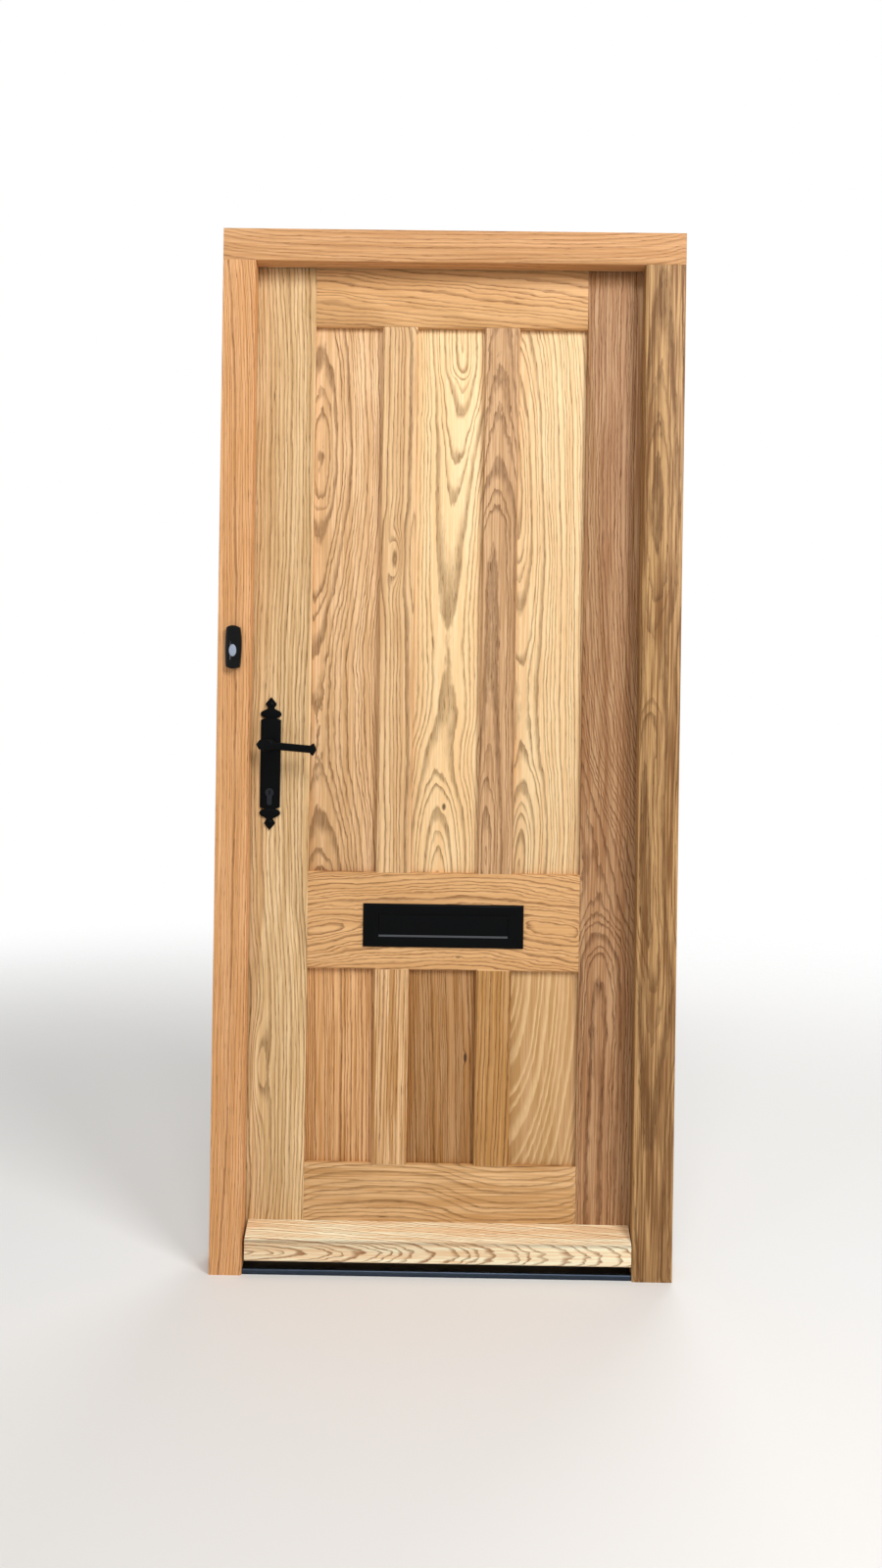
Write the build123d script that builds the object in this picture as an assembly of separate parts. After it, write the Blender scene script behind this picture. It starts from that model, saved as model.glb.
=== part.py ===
"""A panelled oak front door hung in its oak frame, with its lever furniture, mortice lock,
letter plate, weatherboard, threshold and bell push.

X runs to the right seen from outside, Y from outside to inside, Z up, in millimetres.
The origin is on the ground, at the middle of the doorway and of the frame's depth.
"""

from build123d import *
import os

# Leaf
leaf_w = 762.0
leaf_h = 1928.0
leaf_t = 54.0
latch_stile_w = 121.0
hinge_stile_w = 114.0
top_rail_w = 120.0
mid_rail_w = 188.0
bottom_rail_w = 184.0
mid_rail_top = 750.0
muntin_w = 68.0
panels_across = 3
edge_chamfer = 3.0

# Joints between the boards of the leaf
panel_t = 30.0
tongue_t = 12.0
tongue_l = 12.0
groove_play = 1.0
rail_tenon_t = 16.0
rail_tenon_l = 75.0
rail_haunch = 20.0
muntin_tenon_l = 30.0

# Frame
frame_d = 94.0
rebate_w = 12.0
latch_jamb_face = 62.0
hinge_jamb_face = 76.0
head_face = 60.0
side_gap = 3.0
head_gap = 3.0
stop_gap = 4.0
frame_chamfer = 2.5
jamb_tenon_t = 20.0
jamb_tenon_w = 30.0
jamb_tenon_h = 40.0

# Fixings through the jambs into the wall, with a pocket for a wooden pellet over each
fixing_r = 4.0
pellet_r = 8.0
pellet_d = 10.0
fixing_foot = 130.0
fixing_top_margin = 138.0
fixing_count = 4
fixing_y = 16.0

# Threshold
threshold_h = 13.0
threshold_setback = 5.0
threshold_nose_r = 4.0
threshold_back = 8.0
threshold_wall = 3.0
threshold_land_w = 14.0
threshold_channel_h = 5.0
threshold_rise = 3.0
threshold_rise_run = 24.0
threshold_fall = 5.0
threshold_fall_run = 18.0
foot_gap = 4.0

# Seals
seal_w = 7.0
seal_clear = 0.4
seal_stem_w = 3.0
seal_stem_d = 5.0
seal_round_margin = 0.05
foot_seal_y = 28.0
foot_seal_stem_d = 3.0

# Weatherboard
board_out = 42.0
board_foot = 11.0
board_nose_top = 53.0
board_top = 74.0
board_latch_gap = 5.5
board_hinge_gap = 2.0
board_nose_r = 4.0
drip_w = 6.0
drip_d = 4.0
drip_back = 10.0

# Butt hinges
hinge_count = 3
hinge_h = 100.0
hinge_leaf_w = 28.0
hinge_leaf_t = 2.5
hinge_top_margin = 150.0
hinge_foot_margin = 225.0
knuckle_r = 5.5
knuckle_stand = 0.5
knuckle_count = 5
knuckle_gap = 0.4
pin_r = 3.0
pin_cap_r = 4.5
pin_cap_h = 2.0
hinge_screw_rows = 3
hinge_screw_shift = 4.2

# Screws
screw_head_r = 4.2
screw_shank_r = 2.0
screw_l = 25.0
slot_w = 1.2
slot_d = 1.0
screw_fit = 0.1

# Mortice lock
backset = 45.0
spindle_above_rail = 244.0
cylinder_drop = 92.0
case_t = 16.0
case_wall = 2.0
case_above = 36.0
case_below = 36.0
case_spare = 1.2
case_fit = 0.25
faceplate_w = 22.0
faceplate_t = 3.0
faceplate_over = 25.0
bolt_t = 11.6
latch_h = 24.0
latch_lift = 2.0
latch_out = 11.0
latch_in = 10.0
latch_tail_h = 6.0
latch_tail_t = 4.0
latch_tail_drop = 2.0
latch_travel = 12.0
latch_edge_t = 1.0
latch_post_t = 3.0
latch_post_foot = 1.0
spring_room = 18.0
dead_h = 30.0
dead_clear = 2.0
dead_l = 36.0
dead_throw = 20.0
bolt_fit = 0.2

# Follower, spindle and levers
lever_droop_deg = 4.5
spindle_side = 8.0
spindle_fit = 0.1
follower_r = 10.0
follower_t = 11.0
follower_boss_r = 8.5
follower_arm_w = 5.0
follower_arm_r = 17.0
latch_lug_w = 5.0
latch_lug_foot = 12.5
latch_lug_gap = 0.3
running_fit = 0.08
lever_reach = 45.0
lever_t = 10.0
lever_bar_h = 14.4
lever_bar_l = 82.0
lever_flare_l = 87.5
lever_tip_l = 94.5
lever_flare_h = 24.0
lever_tail_l = 21.0
lever_tail_widest = 14.0
lever_tail_h = 18.6
lever_hub_r = 11.5
lever_neck_r = 8.0
lever_bore_play = 2.0
lever_hub_gap = 0.5
lever_hub_proud = 1.0
lever_edge = 1.5
spindle_short = 2.0

# Backplates with leaf-shaped ends
plate_w = 39.0
plate_l = 257.5
plate_t = 4.0
plate_edge = 1.0
plate_centre_drop = 36.0
diamond_w = 20.4
diamond_at = 14.5
diamond_neck_w = 11.2
diamond_neck_at = 22.3
lobe_tip_w = 43.6
lobe_tip_r = 4.5
lobe_tip_at = 30.5
lobe_shoulder_w = 28.0
lobe_top_at = 23.6
lobe_foot_at = 37.0
plate_neck_w = 19.3
plate_neck_at = 38.6
plate_body_at = 44.3

# Lock cylinder
cylinder_l = 70.0
cylinder_r = 8.5
cylinder_leg_w = 10.0
cylinder_leg_l = 24.5
cylinder_fit = 0.3
plug_r = 6.5
cam_w = 10.0
cam_gap = 0.3
cam_r = 14.2
cam_tooth_w = 8.0
cam_slot_r = 15.0
cylinder_screw_drop = 19.8
cylinder_screw_r = 2.4
cylinder_screw_past = 5.0
keyway_w = 1.4
keyway_h = 8.5
keyway_d = 24.0
keyway_drop = 1.0

# Strike plate in the latch jamb
strike_t = 2.5
strike_w = 24.0
strike_over = 20.0
keep_fit = 3.5
strike_lip = 1.0
keep_spare = 13.0

# Letter plate
letter_rim_w = 30.5
letter_rim_h = 20.0
letter_t = 5.0
letter_bevel = 3.0
letter_from_rail_top = 102.0
flap_w = 250.0
flap_h = 44.0
flap_t = 3.0
flap_set_in = 1.0
flap_gap = 0.4
flap_barrel_r = 3.0
flap_pin_r = 1.5
flap_axis_back = 2.0
flap_axis_margin = 0.5
flap_lip = 1.4
flap_lug_t = 3.5
letter_slot_play = 4.0
inner_rim_w = 21.0
inner_rim_h = 15.0
inner_t = 3.0
inner_flap_over = 6.0
inner_flap_t = 1.5
inner_flap_gap = 0.3
inner_lug_t = 1.75
inner_barrel_r = 2.5
inner_pin_r = 1.2
letter_bolt_r = 2.5
letter_bolt_head_r = 5.0
letter_bolt_head_h = 2.5
letter_bolt_inset = 13.0
letter_bolt_start = 4.0
letter_post_r = 4.5
letter_post_l = 14.0
letter_bolt_hole_r = 5.5

# Bell push
bell_w = 30.6
bell_end_w = 26.0
bell_h = 82.0
bell_bow = 4.0
bell_t = 14.0
bell_side_t = 7.0
bell_wall = 2.0
bell_base_t = 2.0
bell_base_play = 0.2
bell_guide_l = 2.0
bell_guide_play = 0.3
bell_screw_inset = 12.0
bell_centre_z = 1196.5
bell_button_w = 13.8
bell_button_h = 23.0
bell_button_drop = 6.4
bell_button_proud = 0.6
bell_button_gap = 0.3
bell_button_l = 7.0
bell_flange = 1.5
bell_flange_t = 1.5
bell_spring_r = 3.0
bell_wire_r = 0.4
bell_spring_play = 0.2
bell_spring_turns = 3

# Latch spring
spring_r = 4.6
spring_wire_r = 0.6
wire_sides = 6
spring_play = 0.3
spring_turns = 4

# Planes and edges worked out from the sizes above
outside_y = -frame_d / 2
inside_y = frame_d / 2
leaf_y0 = inside_y - leaf_t
leaf_yc = inside_y - leaf_t / 2
stop_y = leaf_y0 - stop_gap
leaf_x0 = -leaf_w / 2
leaf_x1 = leaf_w / 2
leaf_z0 = threshold_h + foot_gap
leaf_z1 = leaf_z0 + leaf_h
latch_rebate_x = leaf_x0 - side_gap
hinge_rebate_x = leaf_x1 + side_gap
latch_stop_x = latch_rebate_x + rebate_w
hinge_stop_x = hinge_rebate_x - rebate_w
latch_outer_x = latch_stop_x - latch_jamb_face
hinge_outer_x = hinge_stop_x + hinge_jamb_face
head_rebate_z = leaf_z1 + head_gap
head_stop_z = head_rebate_z - rebate_w
frame_top_z = head_stop_z + head_face
fixing_pitch = (head_rebate_z - fixing_top_margin - fixing_foot) / (fixing_count - 1)

latch_in_x = leaf_x0 + latch_stile_w
hinge_in_x = leaf_x1 - hinge_stile_w
field_x = (latch_in_x + hinge_in_x) / 2
panel_w = (hinge_in_x - latch_in_x - (panels_across - 1) * muntin_w) / panels_across
top_rail_z0 = leaf_z1 - top_rail_w
mid_rail_z1 = leaf_z0 + mid_rail_top
mid_rail_z0 = mid_rail_z1 - mid_rail_w
bottom_rail_z1 = leaf_z0 + bottom_rail_w
groove_d = tongue_l + groove_play

lock_x = leaf_x0 + backset
spindle_z = mid_rail_z1 + spindle_above_rail
cylinder_z = spindle_z - cylinder_drop
case_x0 = leaf_x0 + faceplate_t
latch_lug_x = lock_x + follower_arm_w / 2 + latch_lug_gap
case_x1 = latch_lug_x + latch_lug_w + latch_travel + case_spare + case_wall
case_z0 = cylinder_z - case_below
case_z1 = spindle_z + case_above
latch_z0 = spindle_z + latch_lift
latch_z1 = latch_z0 + latch_h
latch_root_x = case_x0 + latch_in
latch_tail_z1 = latch_z1 - latch_tail_drop
latch_tail_z0 = latch_tail_z1 - latch_tail_h
latch_tail_z = (latch_tail_z0 + latch_tail_z1) / 2
latch_post_x = latch_root_x + spring_room
cover_y = leaf_yc + case_t / 2 - case_wall
dead_z0 = cylinder_z + cam_slot_r + dead_clear
dead_z1 = dead_z0 + dead_h
keep_deep = dead_throw - side_gap + keep_spare
plate_z = spindle_z - plate_centre_drop
letter_z = mid_rail_z1 - letter_from_rail_top
letter_w = flap_w + 2 * letter_rim_w
letter_h = flap_h + 2 * letter_rim_h
inner_w = flap_w + 2 * inner_rim_w
inner_h = flap_h + 2 * inner_rim_h
flap_axis_y = leaf_y0 + flap_axis_back
flap_top_z = letter_z + flap_h / 2 - flap_gap
flap_axis_z = flap_top_z - flap_barrel_r - flap_axis_margin
inner_plate_y1 = inside_y + inner_t
inner_axis_y = inner_plate_y1 + inner_barrel_r + inner_flap_gap
inner_axis_z = letter_z + flap_h / 2 + inner_flap_over - inner_barrel_r
hinge_axis_x = leaf_x1 + side_gap / 2
hinge_axis_y = inside_y + knuckle_r + knuckle_stand
bell_x = (latch_outer_x + latch_stop_x) / 2
button_z = bell_centre_z - bell_button_drop
button_face_y = outside_y - bell_t - bell_button_proud
button_back_y = outside_y - bell_t + bell_button_l
cylinder_y0 = leaf_yc - cylinder_l / 2
cylinder_y1 = leaf_yc + cylinder_l / 2
cam_y0 = leaf_yc - cam_w / 2
cam_y1 = leaf_yc + cam_w / 2
seal_h = stop_gap - seal_clear
seal_in = rebate_w / 2

overshoot = 1.0


def block(x0, x1, y0, y1, z0, z1):
    """A box given by its limits."""
    middle = Pos((x0 + x1) / 2, (y0 + y1) / 2, (z0 + z1) / 2)
    return middle * Box(x1 - x0, y1 - y0, z1 - z0)


def rod_x(radius, y, z, x0, x1):
    return Pos((x0 + x1) / 2, y, z) * Rot(0, 90, 0) * Cylinder(radius, x1 - x0)


def rod_y(radius, x, z, y0, y1):
    return Pos(x, (y0 + y1) / 2, z) * Rot(90, 0, 0) * Cylinder(radius, y1 - y0)


def rod_z(radius, x, y, z0, z1):
    return Pos(x, y, (z0 + z1) / 2) * Cylinder(radius, z1 - z0)


def front(y):
    """The upright plane at y, drawn on with X to the right and Z up."""
    return Plane(origin=(0, y, 0), x_dir=(1, 0, 0), z_dir=(0, -1, 0))


def side(x):
    """The upright plane at x, drawn on with Y to the right and Z up."""
    return Plane(origin=(x, 0, 0), x_dir=(0, 1, 0), z_dir=(1, 0, 0))


def through_y(outline, y0, y1):
    """An outline drawn in X and Z, made solid from y0 to y1."""
    return extrude(front(y1) * outline, amount=y1 - y0)


def along_x(outline, x0, x1):
    """A section drawn in Y and Z, made solid from x0 to x1."""
    return extrude(side(x0) * outline, amount=x1 - x0)


def arris_cut(x0, x1, z0, z1, face_y, outward, width):
    """The tapered cut that takes the arris off all round an opening in a face."""
    deep = front(face_y - outward * width)
    proud = front(face_y + outward * overshoot)
    spread = 2 * (width + overshoot)
    centre = Pos((x0 + x1) / 2, (z0 + z1) / 2)
    small = deep * centre * Rectangle(x1 - x0, z1 - z0)
    large = proud * centre * Rectangle(x1 - x0 + spread, z1 - z0 + spread)
    return loft([small, large])


# Screws, built with the head's top at the origin and the point towards -Z

def screw(length, slotted=True, grow=0.0):
    """A countersunk wood screw, or with grow the hole that takes it."""
    head_r = screw_head_r + grow
    shank_r = screw_shank_r + grow
    sink = screw_head_r - screw_shank_r
    head = Pos(0, 0, -sink / 2) * Cone(shank_r, head_r, sink)
    shank = Pos(0, 0, -(length + grow) / 2) * Cylinder(shank_r, length + grow)
    made = head + shank
    if slotted:
        made = made - Pos(0, 0, -slot_d / 2) * Box(3 * head_r, slot_w, slot_d)
    return made


def screw_hole(length):
    """The clearance for a screw, open a little above its head."""
    mouth = Pos(0, 0, overshoot / 2) * Cylinder(screw_head_r + screw_fit, overshoot)
    return screw(length, slotted=False, grow=screw_fit) + mouth


def point_in(x, y, z):
    """Turns a screw so that its point goes inwards, along +Y."""
    return Location((x, y, z), (90, 0, 0))


def point_out(x, y, z):
    return Location((x, y, z), (-90, 0, 0))


def point_right(x, y, z):
    return Location((x, y, z), (0, -90, 0))


def point_left(x, y, z):
    return Location((x, y, z), (0, 90, 0))


# The six panel openings

def opening_columns():
    columns = []
    for i in range(panels_across):
        x0 = latch_in_x + i * (panel_w + muntin_w)
        columns.append((x0, x0 + panel_w))
    return columns


def opening_rows():
    return {"upper": (mid_rail_z1, top_rail_z0), "lower": (bottom_rail_z1, mid_rail_z0)}


def panel_recess(x0, x1, z0, z1):
    """What an opening takes from the boards round it: its groove and its two arrises."""
    groove = block(x0 - groove_d, x1 + groove_d, leaf_yc - tongue_t / 2, leaf_yc + tongue_t / 2,
                   z0 - groove_d, z1 + groove_d)
    outer = arris_cut(x0, x1, z0, z1, leaf_y0, -1, edge_chamfer)
    inner = arris_cut(x0, x1, z0, z1, inside_y, 1, edge_chamfer)
    return [groove, outer, inner]


recess_cuts = {
    row: [cut for x0, x1 in opening_columns() for cut in panel_recess(x0, x1, z0, z1)]
    for row, (z0, z1) in opening_rows().items()
}


def panel(x0, x1, z0, z1):
    """A flat board with a tongue all round that floats in the grooves."""
    field = block(x0, x1, leaf_yc - panel_t / 2, leaf_yc + panel_t / 2, z0, z1)
    tongue = block(x0 - tongue_l, x1 + tongue_l, leaf_yc - tongue_t / 2, leaf_yc + tongue_t / 2,
                   z0 - tongue_l, z1 + tongue_l)
    return field + tongue


# Rails and muntins

def rail_tenon(z0, z1, grooved_below, grooved_above):
    """One bar as long as the rail and both its tenons."""
    foot = z0 + (groove_d if grooved_below else rail_haunch)
    top = z1 - (groove_d if grooved_above else rail_haunch)
    return block(latch_in_x - rail_tenon_l, hinge_in_x + rail_tenon_l,
                 leaf_yc - rail_tenon_t / 2, leaf_yc + rail_tenon_t / 2, foot, top)


rail_tenons = [
    rail_tenon(top_rail_z0, leaf_z1, True, False),
    rail_tenon(mid_rail_z0, mid_rail_z1, True, True),
    rail_tenon(leaf_z0, bottom_rail_z1, False, True),
]


def muntin_tenon(i, z0, z1):
    """The bar inside a muntin that ends in its two stub tenons."""
    x0 = opening_columns()[i][1]
    return block(x0 + groove_d, x0 + muntin_w - groove_d,
                 leaf_yc - tongue_t / 2, leaf_yc + tongue_t / 2,
                 z0 - muntin_tenon_l, z1 + muntin_tenon_l)


def muntin(i, row):
    z0, z1 = opening_rows()[row]
    x0 = opening_columns()[i][1]
    board = block(x0, x0 + muntin_w, leaf_y0, inside_y, z0, z1)
    return board - recess_cuts[row] + muntin_tenon(i, z0, z1)


def muntin_mortices(row):
    z0, z1 = opening_rows()[row]
    return [muntin_tenon(i, z0, z1) for i in range(panels_across - 1)]


def rail(z0, z1, tenon, rows):
    made = block(latch_in_x, hinge_in_x, leaf_y0, inside_y, z0, z1) + tenon
    for row in rows:
        made = made - recess_cuts[row] - muntin_mortices(row)
    return made


# Stiles

def euro_profile(grow=0.0):
    """The keyhole shape of a lock cylinder, about its plug's centre."""
    radius = cylinder_r + grow
    leg_r = cylinder_leg_w / 2 + grow
    leg_l = cylinder_leg_l - cylinder_leg_w / 2
    leg = Pos(0, -leg_l / 2) * Rectangle(2 * leg_r, leg_l)
    return Circle(radius) + leg + Pos(0, -leg_l) * Circle(leg_r)


def lock_case_envelope(grow=0.0):
    return block(case_x0 - overshoot * (grow > 0), case_x1 + grow,
                 leaf_yc - case_t / 2 - grow, leaf_yc + case_t / 2 + grow,
                 case_z0 - grow, case_z1 + grow)


def faceplate_envelope():
    return block(leaf_x0, case_x0, leaf_yc - faceplate_w / 2, leaf_yc + faceplate_w / 2,
                 case_z0 - faceplate_over, case_z1 + faceplate_over)


def faceplate_screw_places():
    inset = faceplate_over / 2
    return [point_right(leaf_x0, leaf_yc, z) for z in (case_z0 - inset, case_z1 + inset)]


def plate_screw_places():
    """One screw in each diamond of each backplate."""
    reach = plate_l / 2 - diamond_at
    heights = (plate_z - reach, plate_z + reach)
    outside = [point_in(lock_x, leaf_y0 - plate_t, z) for z in heights]
    inside = [point_out(lock_x, inside_y + plate_t, z) for z in heights]
    return outside + inside


def latch_stile():
    made = block(leaf_x0, latch_in_x, leaf_y0, inside_y, leaf_z0, leaf_z1)
    made = made - recess_cuts["upper"] - recess_cuts["lower"] - rail_tenons
    made = made - lock_case_envelope(case_fit) - faceplate_envelope()
    made = made - through_y(Pos(lock_x, cylinder_z) * euro_profile(2 * cylinder_fit),
                            leaf_y0 - overshoot, inside_y + overshoot)
    made = made - rod_y(lever_neck_r + lever_bore_play, lock_x, spindle_z,
                        leaf_y0 - overshoot, inside_y + overshoot)
    hole = screw_hole(screw_l)
    made = made - [place * hole for place in plate_screw_places() + faceplate_screw_places()]
    made = made - cylinder_screw_hole()
    return made


def hinge_stile():
    made = block(hinge_in_x, leaf_x1, leaf_y0, inside_y, leaf_z0, leaf_z1)
    made = made - recess_cuts["upper"] - recess_cuts["lower"] - rail_tenons
    for foot in hinge_feet():
        made = made - block(leaf_x1 - hinge_leaf_t, leaf_x1 + overshoot, inside_y - hinge_leaf_w,
                            inside_y + overshoot, foot, foot + hinge_h)
    hole = screw_hole(screw_l)
    return made - [place * hole for place in hinge_screw_places(point_left, leaf_x1)]


def mid_rail():
    made = rail(mid_rail_z0, mid_rail_z1, rail_tenons[1], ["upper", "lower"])
    slot_w = flap_w + 2 * flap_lug_t + letter_slot_play
    slot_h = flap_h + letter_slot_play
    made = made - block(field_x - slot_w / 2, field_x + slot_w / 2, leaf_y0 - overshoot,
                        inside_y + overshoot, letter_z - slot_h / 2, letter_z + slot_h / 2)
    return made - [rod_y(letter_bolt_hole_r, x, letter_z, leaf_y0 - overshoot, inside_y + overshoot)
                   for x in letter_bolt_xs()]


# Weatherboard

def weatherboard():
    """A moulded bar on the foot of the leaf: sloping top, upright nose, drip groove below."""
    back = leaf_y0
    nose = leaf_y0 - board_out
    foot = leaf_z0 + board_foot
    section = make_face(Polyline((back, foot), (nose, foot), (nose, leaf_z0 + board_nose_top),
                                 (back, leaf_z0 + board_top), close=True))
    corners = section.vertices().filter_by_position(Axis.X, nose - 1, nose + 1)
    section = fillet(corners, board_nose_r)
    drip_y = nose + drip_back
    drip = Pos(drip_y, foot) * Rectangle(drip_w, 2 * drip_d)
    made = along_x(section - drip, latch_stop_x + board_latch_gap, hinge_stop_x - board_hinge_gap)
    return made


# Frame

def jamb_fixing_heights():
    return [fixing_foot + i * fixing_pitch for i in range(fixing_count)]


def jamb_fixing_holes(outer_x, rebate_x):
    """Clearance holes into the wall, each with its pellet pocket on the rebate side."""
    into = 1 if rebate_x > outer_x else -1
    x0, x1 = sorted((outer_x - into * overshoot, rebate_x + into * overshoot))
    p0, p1 = sorted((rebate_x - into * pellet_d, rebate_x + into * overshoot))
    cuts = []
    for z in jamb_fixing_heights():
        cuts.append(rod_x(fixing_r, fixing_y, z, x0, x1))
        cuts.append(rod_x(pellet_r, fixing_y, z, p0, p1))
    return cuts


def jamb_tenon(outer_x, rebate_x):
    middle = (outer_x + rebate_x) / 2
    return block(middle - jamb_tenon_w / 2, middle + jamb_tenon_w / 2,
                 -jamb_tenon_t / 2, jamb_tenon_t / 2, head_stop_z - overshoot, head_stop_z + jamb_tenon_h)


def aperture_arris():
    return arris_cut(latch_stop_x, hinge_stop_x, -head_stop_z, head_stop_z, outside_y, -1, frame_chamfer)


def jamb(outer_x, stop_x, rebate_x):
    """A post with the rebate that the leaf shuts into."""
    a0, a1 = sorted((outer_x, stop_x))
    b0, b1 = sorted((outer_x, rebate_x))
    post = block(a0, a1, outside_y, stop_y, 0, head_stop_z)
    post = post + block(b0, b1, stop_y, inside_y, 0, head_stop_z)
    post = post + jamb_tenon(outer_x, rebate_x)
    return post - aperture_arris() - jamb_fixing_holes(outer_x, rebate_x)


def keep_pocket(z0, z1, deep, grow=0.0):
    """The hole behind the strike plate that a bolt shoots into."""
    half = bolt_t / 2 + keep_fit + grow
    return block(latch_rebate_x - deep, latch_rebate_x + overshoot, leaf_yc - half, leaf_yc + half,
                 z0 - keep_fit - grow, z1 + keep_fit + grow)


def strike_envelope():
    return block(latch_rebate_x - strike_t, latch_rebate_x, leaf_yc - strike_w / 2,
                 leaf_yc + strike_w / 2, dead_z0 - strike_over, latch_z1 + strike_over)


def strike_screw_places():
    inset = strike_over / 2
    return [point_left(latch_rebate_x, leaf_yc, z) for z in (dead_z0 - inset, latch_z1 + inset)]


def latch_jamb():
    made = jamb(latch_outer_x, latch_stop_x, latch_rebate_x) - strike_envelope()
    made = made - keep_pocket(latch_z0, latch_z1, keep_deep) - keep_pocket(dead_z0, dead_z1, keep_deep)
    hole = screw_hole(screw_l)
    made = made - [place * hole for place in strike_screw_places()]
    made = made - seal_groove_upright(latch_rebate_x, 1)
    return made - [place * hole for place in bell_screw_places()]


def hinge_jamb():
    made = jamb(hinge_outer_x, hinge_stop_x, hinge_rebate_x)
    for foot in hinge_feet():
        made = made - block(hinge_rebate_x - overshoot, hinge_rebate_x + hinge_leaf_t,
                            inside_y - hinge_leaf_w, inside_y + overshoot, foot, foot + hinge_h)
    hole = screw_hole(screw_l)
    made = made - [place * hole for place in hinge_screw_places(point_right, hinge_rebate_x)]
    return made - seal_groove_upright(hinge_rebate_x, -1)


def frame_head():
    made = block(latch_outer_x, hinge_outer_x, outside_y, inside_y, head_stop_z, frame_top_z)
    made = made - block(latch_rebate_x, hinge_rebate_x, stop_y, inside_y + overshoot,
                        head_stop_z - overshoot, head_rebate_z)
    made = made - jamb_tenon(latch_outer_x, latch_rebate_x) - jamb_tenon(hinge_outer_x, hinge_rebate_x)
    made = made - aperture_arris()
    return made - seal_groove_head()


# Seals, each a stem in a groove in the stop and a rounded bulb towards the leaf

def seal_groove_upright(rebate_x, into):
    x = rebate_x + into * seal_in
    return block(x - seal_stem_w / 2, x + seal_stem_w / 2, stop_y - seal_stem_d, stop_y,
                 leaf_z0, head_stop_z + seal_in + seal_stem_w / 2)


def seal_groove_head():
    z = head_rebate_z - seal_in
    run = block(latch_rebate_x, hinge_rebate_x, stop_y - seal_stem_d, stop_y,
                z - seal_stem_w / 2, z + seal_stem_w / 2)
    return run


def seal_bulb():
    return RectangleRounded(seal_w, seal_h, seal_h / 2 - seal_round_margin)


def upright_seal(rebate_x, into):
    x = rebate_x + into * seal_in
    top = head_stop_z - seal_clear
    bulb = extrude(Plane.XY.offset(leaf_z0) * Pos(x, stop_y + seal_h / 2) * seal_bulb(), amount=top - leaf_z0)
    stem = block(x - seal_stem_w / 2, x + seal_stem_w / 2, stop_y - seal_stem_d, stop_y + seal_h / 2,
                 leaf_z0, top)
    return bulb + stem


def head_seal():
    z = head_rebate_z - seal_in
    x0 = latch_rebate_x
    x1 = hinge_rebate_x
    bulb = along_x(Pos(stop_y + seal_h / 2, z) * Rot(0, 0, 90) * seal_bulb(), x0, x1)
    stem = block(x0, x1, stop_y - seal_stem_d, stop_y + seal_h / 2, z - seal_stem_w / 2, z + seal_stem_w / 2)
    return bulb + stem


# Threshold

def threshold_section():
    """A low aluminium section: rounded nose, gently rising top, lands and channels below."""
    nose = outside_y + threshold_setback
    back = inside_y - threshold_back
    outer = make_face(Polyline((nose, 0), (nose, threshold_h - threshold_rise),
                               (nose + threshold_rise_run, threshold_h),
                               (back - threshold_fall_run, threshold_h),
                               (back, threshold_h - threshold_fall), (back, 0), close=True))
    top_nose = outer.vertices().filter_by_position(Axis.X, nose - 1, nose + 1).sort_by(Axis.Y)[-1]
    outer = fillet(top_nose, threshold_nose_r)
    land = threshold_land_w / 2
    for y0, y1 in ((nose + threshold_wall, -land), (land, back - threshold_wall)):
        outer = outer - Pos((y0 + y1) / 2, 0) * Rectangle(y1 - y0, 2 * threshold_channel_h)
    return outer


def threshold():
    made = along_x(threshold_section(), latch_rebate_x, hinge_rebate_x)
    for x0, x1 in ((latch_rebate_x - overshoot, latch_stop_x), (hinge_stop_x, hinge_rebate_x + overshoot)):
        made = made - block(x0, x1, outside_y, stop_y, -overshoot, threshold_h + overshoot)
    return made - foot_seal_groove()


def foot_seal_groove():
    return block(latch_rebate_x, hinge_rebate_x, foot_seal_y - seal_stem_w / 2,
                 foot_seal_y + seal_stem_w / 2, threshold_h - foot_seal_stem_d, threshold_h + overshoot)


def threshold_seal():
    height = foot_gap - seal_clear
    section = RectangleRounded(seal_w, height, height / 2 - seal_round_margin)
    bulb = along_x(Pos(foot_seal_y, threshold_h + height / 2) * section, latch_rebate_x, hinge_rebate_x)
    stem = block(latch_rebate_x, hinge_rebate_x, foot_seal_y - seal_stem_w / 2, foot_seal_y + seal_stem_w / 2,
                 threshold_h - foot_seal_stem_d, threshold_h + height / 2)
    return bulb + stem


# Butt hinges

def hinge_feet():
    low = leaf_z0 + hinge_foot_margin
    high = leaf_z1 - hinge_top_margin - hinge_h
    return [low + i * (high - low) / (hinge_count - 1) for i in range(hinge_count)]


def hinge_screw_places(point, x):
    """Three screws staggered down each hinge plate."""
    places = []
    for foot in hinge_feet():
        for i in range(hinge_screw_rows):
            z = foot + hinge_h * (i + 0.5) / hinge_screw_rows
            y = inside_y - hinge_leaf_w / 2 + (hinge_screw_shift if i % 2 else -hinge_screw_shift)
            places.append(point(x, y, z))
    return places


def knuckles(foot, parity):
    """The turned-over parts of one hinge plate, every other one up the pin."""
    pitch = hinge_h / knuckle_count
    made = []
    for i in range(knuckle_count):
        if i % 2 == parity:
            made.append(rod_z(knuckle_r, hinge_axis_x, hinge_axis_y, foot + i * pitch + knuckle_gap / 2,
                              foot + (i + 1) * pitch - knuckle_gap / 2))
    return made


def knuckle_room(foot, parity):
    """The room that one plate leaves for the other plate's knuckles."""
    pitch = hinge_h / knuckle_count
    room = knuckle_r + knuckle_stand
    made = []
    for i in range(knuckle_count):
        if i % 2 == parity:
            made.append(rod_z(room, hinge_axis_x, hinge_axis_y, foot + i * pitch - knuckle_gap / 2,
                              foot + (i + 1) * pitch + knuckle_gap / 2))
    return made


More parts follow.
